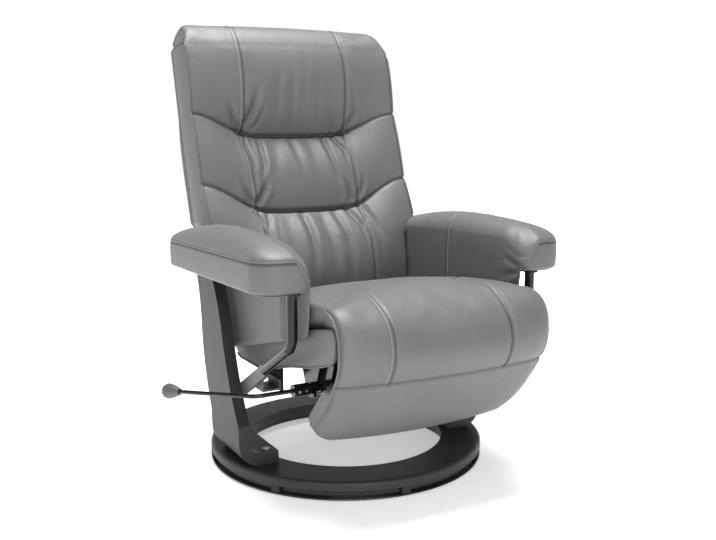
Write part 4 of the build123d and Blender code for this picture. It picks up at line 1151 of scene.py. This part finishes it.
class RECLINER_OT_arms(bpy.types.Operator):
    """Sews and fills the two arms with their skirts, piping, inner cross seam and folds"""
    bl_idname = "recliner.arms"
    bl_label = "Arms and skirts"

    def execute(self, context):
        leather = context.scene.recliner_leather
        rings, sewn, seam_rows, piped = arm_skin()
        rings = inflate(rings, rings * 1.002, sewn, leather.pressure * 0.6, ARM_CAP, soften=5)
        rings = finer(finer(rings, 0, False), 1, True)
        piped = np.repeat(piped, 2)
        seam_rows = finer(seam_rows[:, None].astype(float), 0, True)[:, 0]
        row = np.arange(len(rings))[:, None] / 2
        x, y = rings[..., 0], rings[..., 1]
        crest = ARM_INNER_X + ARM_WIDTH / 2
        lap = leather.stitch_offset * 1000
        depth = np.exp(-((row - seam_rows) / 0.5) ** 2) * piped * 2
        inner = ease(9, 11, row) * (1 - ease(crest - 14, crest, x))
        depth += inner * fell_seam(ARM_CROSS_SEAM_Y - y, lap)
        depth += ease(15, 21, row) * (1 - ease(31, 33, row)) * fold_relief(x, y, ARM_FOLDS)
        depth += (x < ARM_INNER_X + 12) * fold_relief(y, rings[..., 2], SKIRT_FOLDS)
        # Painted shade: darkens the leather just below the piping and along the inner cross seam.
        crease_and_painted_shade = 0.7 * np.exp(-((row - seam_rows + 0.9) / 0.5) ** 2) * piped
        crease_and_painted_shade += 0.8 * inner * seam_mark(ARM_CROSS_SEAM_Y - y)
        rings = rings - normals_of(rings) * depth[..., None]
        lifted = rings + normals_of(rings) * 0.6
        columns = np.flatnonzero(piped)
        low = np.clip(np.floor(2 * seam_rows).astype(int), 0, len(rings) - 2)
        t = (2 * seam_rows - low)[:, None]
        every = np.arange(len(seam_rows))
        welt = (lifted[low, every] * (1 - t) + lifted[low + 1, every] * t)[columns]
        cross = crossing(lifted[20:-6], ARM_CROSS_SEAM_Y - lap, 0, crest - 8)
        for side, flip in (("left", 1), ("right", -1)):
            mirror = np.array([flip, 1, 1])
            turned = rings * mirror
            order = slice(None, None, flip)
            pad = closed_skin(side + "_arm_leather", turned[:, order], material_named("pebbled_leather"),
                              crease_and_painted_shade[:, order])
            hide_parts(side + "_arm_pad", side + "_arm_skirt")
            edge = piping(side + "_arm_piping", [welt * mirror])
            threads = stitches(side + "_arm_stitches", [cross * mirror])
            for piece in (pad, edge, threads):
                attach(piece, "chair")
        return {"FINISHED"}


def hung_panel(low, high, x_inner, x_outer, crown):
    """Rings of a leather panel between a low and a high edge, crowned on its outer face and flat inside."""
    rows = len(low)
    t = np.linspace(0, 1, 25)[None, :, None]
    face = low[:, None, :] * (1 - t) + high[:, None, :] * t
    s = np.linspace(-1, 1, rows)[:, None]
    puff = (1 - np.abs(s) ** 6) * (1 - np.abs(2 * t[..., 0] - 1) ** 6)
    sag = np.sin(face[..., 0] / 37 + face[..., 1] / 80) * np.sin(face[..., 1] / 29) * SEAT_SIDE_SAG * puff
    outer = np.dstack([x_outer - crown * (1 - puff) + sag, face])
    inner = np.dstack([np.full(face.shape[:2], x_inner), face])[:, ::-4]
    return ring_stack(outer, inner, 2, 0), outer


class RECLINER_OT_panels(bpy.types.Operator):
    """Hangs the leather sides of the seat and sets the lined board between them"""
    bl_idname = "recliner.panels"
    bl_label = "Seat sides"

    def execute(self, context):
        bottom = np.array(SEAT_SIDE_BOTTOM, float)
        y = np.linspace(*SEAT_SIDE_ENDS, 72)
        round_hinge = np.sqrt(np.maximum(0, HINGE_ROUND ** 2 - np.minimum(0, y - NOSE[0]) ** 2))
        behind = 200 * (y > NOSE[0])
        low = np.stack([y, np.maximum(np.interp(y, *bottom.T), NOSE[1] - round_hinge - behind)], -1)
        high = np.stack([y, np.minimum(deck_top(y) - 2, NOSE[1] + round_hinge + behind)], -1)
        rings, face = hung_panel(low, high, *SEAT_SIDE_X, SEAT_SIDE_CROWN)
        rim = face[:, 0]
        lining = slab_piece("front_lining", LINING_LOW, LINING_HIGH, material_named("lined_board"))
        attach(lining, "chair")
        for side, flip in (("left", 1), ("right", -1)):
            mirror = np.array([flip, 1, 1])
            turned = rings * mirror
            piece = closed_skin(side + "_seat_side_leather", turned[:, ::-1] if flip > 0 else turned,
                                material_named("pebbled_leather"))
            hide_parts(side + "_seat_side")
            for part in (piece, piping(side + "_seat_side_piping", [rim * mirror])):
                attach(part, "chair")
        return {"FINISHED"}


# Frame


FINISHES = {
    "stained_beech_upright": ("right_post", "left_post"),
    "stained_beech_level": ("swivel_ring",),
    "moulded_black": ("floor_ring",),
    "nylon": ("bearing_ring", "swivel_guides"),
    "rubber": ("floor_glides",),
    "zinc_plate": ("foot_screws", "brace_bolts", "legrest_hinge_pins", "back_pivot_pins", "socket_screws"),
    "lined_board": ("seat_deck", "legrest_board", "back_board", "right_arm_board", "left_arm_board"),
    "grey_paint": ("right_brace", "left_brace", "right_side_bracket", "left_side_bracket"),
    "satin_knob": ("lever_knob",),
    "powder_coat": (
        "right_arm_tube", "left_arm_tube", "right_arm_flange", "left_arm_flange", "right_seat_rail",
        "left_seat_rail", "right_hinge_plate", "left_hinge_plate", "front_cross_tube", "rear_cross_tube",
        "lever_shaft", "lever_collar", "lever_socket", "lever_rod", "lever_spring",
    ),
}


class RECLINER_OT_frame(bpy.types.Operator):
    """Finishes the wood, steel and plastic pieces of the frame"""
    bl_idname = "recliner.frame"
    bl_label = "Frame finishes"

    def execute(self, context):
        for finish, nodes in FINISHES.items():
            for node in nodes:
                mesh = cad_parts[node].data
                mesh.materials.clear()
                mesh.materials.append(material_named(finish))
        return {"FINISHED"}


# Stage


def aim(place, target):
    """A matrix that puts a lamp or camera at a place and points its -Z axis at a target."""
    place, target = Vector(place), Vector(target)
    return Matrix.Translation(place) @ (target - place).to_track_quat("-Z", "Y").to_matrix().to_4x4()


class RECLINER_OT_stage(bpy.types.Operator):
    """Sets a pale floor, soft lights and a camera in front of the chair, on the lever's side"""
    bl_idname = "recliner.stage"
    bl_label = "Stage"

    def execute(self, context):
        scene = context.scene
        stage = scene.recliner_stage
        material, tree = new_material("glowing_floor_paint")
        place = add_node(tree, "ShaderNodeTexCoord").outputs["Object"]
        haze = add_node(tree, "ShaderNodeTexNoise", {"Vector": place, "Scale": per_metre(400), "Detail": 2})
        # Painted light: the floor glows, least within 0.6 m of the chair and fully from 3 m out, so the far
        # floor reads white.
        away = add_node(tree, "ShaderNodeVectorMath", {0: place}, operation="LENGTH").outputs["Value"]
        glow = add_node(tree, "ShaderNodeMapRange", {
            "Value": away, "From Min": 0.6, "From Max": 3.0, "To Min": stage.glow, "To Max": 1.0})
        finish_shader(tree, tones(tree, haze.outputs["Fac"], stage.floor, 0.99, 1.0), 0.7, None,
                      **{"Emission Color": (1, 1, 1, 1), "Emission Strength": glow.outputs["Result"]})
        far = FLOOR_REACH
        corners = [(-far, -far, 0), (far, -far, 0), (far, far, 0), (-far, far, 0)]
        floor = mesh_piece("floor", corners, [(0, 1, 2, 3)], material)
        scene.view_settings.view_transform = "Standard"
        world = bpy.data.worlds.new("studio")
        scene.world = world
        world.use_nodes = True
        tree = world.node_tree
        ray = add_node(tree, "ShaderNodeTexCoord").outputs["Generated"]
        height = add_node(tree, "ShaderNodeSeparateXYZ", {"Vector": ray}).outputs["Z"]
        glow = add_node(tree, "ShaderNodeMapRange", {
            "Value": height, "From Min": 0.16, "From Max": 0.5, "To Min": 1.0, "To Max": stage.surround})
        background = tree.nodes["Background"]
        background.inputs["Color"].default_value = (1, 1, 1, 1)
        tree.links.new(glow.outputs["Result"], background.inputs["Strength"])
        for name, (place, power, size) in LIGHTS.items():
            lamp = bpy.data.lights.new(name, "AREA")
            lamp.energy = stage.light * power
            lamp.size = size
            light = bpy.data.objects.new(name, lamp)
            light.matrix_world = aim(place, LIGHT_TARGET)
            scene.collection.objects.link(light)
        camera = bpy.data.cameras.new("camera")
        camera.lens = CAMERA_LENS
        camera.sensor_width = CAMERA_SENSOR
        view = bpy.data.objects.new("camera", camera)
        turn, yaw, pitch = (math.radians(a) for a in CAMERA_DEGREES)
        right = Vector((math.cos(turn), math.sin(turn), 0))
        level = Vector((-math.sin(turn), math.cos(turn), 0))
        ahead = right * math.sin(yaw) + level * math.cos(yaw)
        forward = ahead * math.cos(pitch) - Vector((0, 0, math.sin(pitch)))
        eye = Vector(CAMERA_PLACE)
        view.matrix_world = aim(eye, eye + forward)
        scene.collection.objects.link(view)
        scene.camera = view
        return {"FINISHED"}


class RECLINER_PT_panel(bpy.types.Panel):
    """Lists the steps that finish the chair"""
    bl_idname = "RECLINER_PT_panel"
    bl_label = "Swivel recliner"
    bl_space_type = "VIEW_3D"
    bl_region_type = "UI"
    bl_category = "Recliner"

    def draw(self, context):
        for group in ("recliner_leather", "recliner_frame", "recliner_stage"):
            settings = getattr(context.scene, group)
            for name in settings.__annotations__:
                self.layout.prop(settings, name)
        for step in STEPS:
            self.layout.operator(step.bl_idname)


STEPS = (
    RECLINER_OT_frame, RECLINER_OT_backrest, RECLINER_OT_rear_panel, RECLINER_OT_seat, RECLINER_OT_arms,
    RECLINER_OT_panels, RECLINER_OT_stage,
)
SETTINGS = {
    "recliner_leather": LeatherSettings, "recliner_frame": FrameSettings, "recliner_stage": StageSettings,
}


def register():
    for cls in (*SETTINGS.values(), *STEPS, RECLINER_PT_panel):
        bpy.utils.register_class(cls)
    for name, cls in SETTINGS.items():
        setattr(bpy.types.Scene, name, bpy.props.PointerProperty(type=cls))


def unregister():
    for name in SETTINGS:
        delattr(bpy.types.Scene, name)
    for cls in reversed((*SETTINGS.values(), *STEPS, RECLINER_PT_panel)):
        bpy.utils.unregister_class(cls)


def main():
    register()
    for step in STEPS:
        group, name = step.bl_idname.split(".")
        getattr(getattr(bpy.ops, group), name)()


if __name__ == "__main__":
    main()
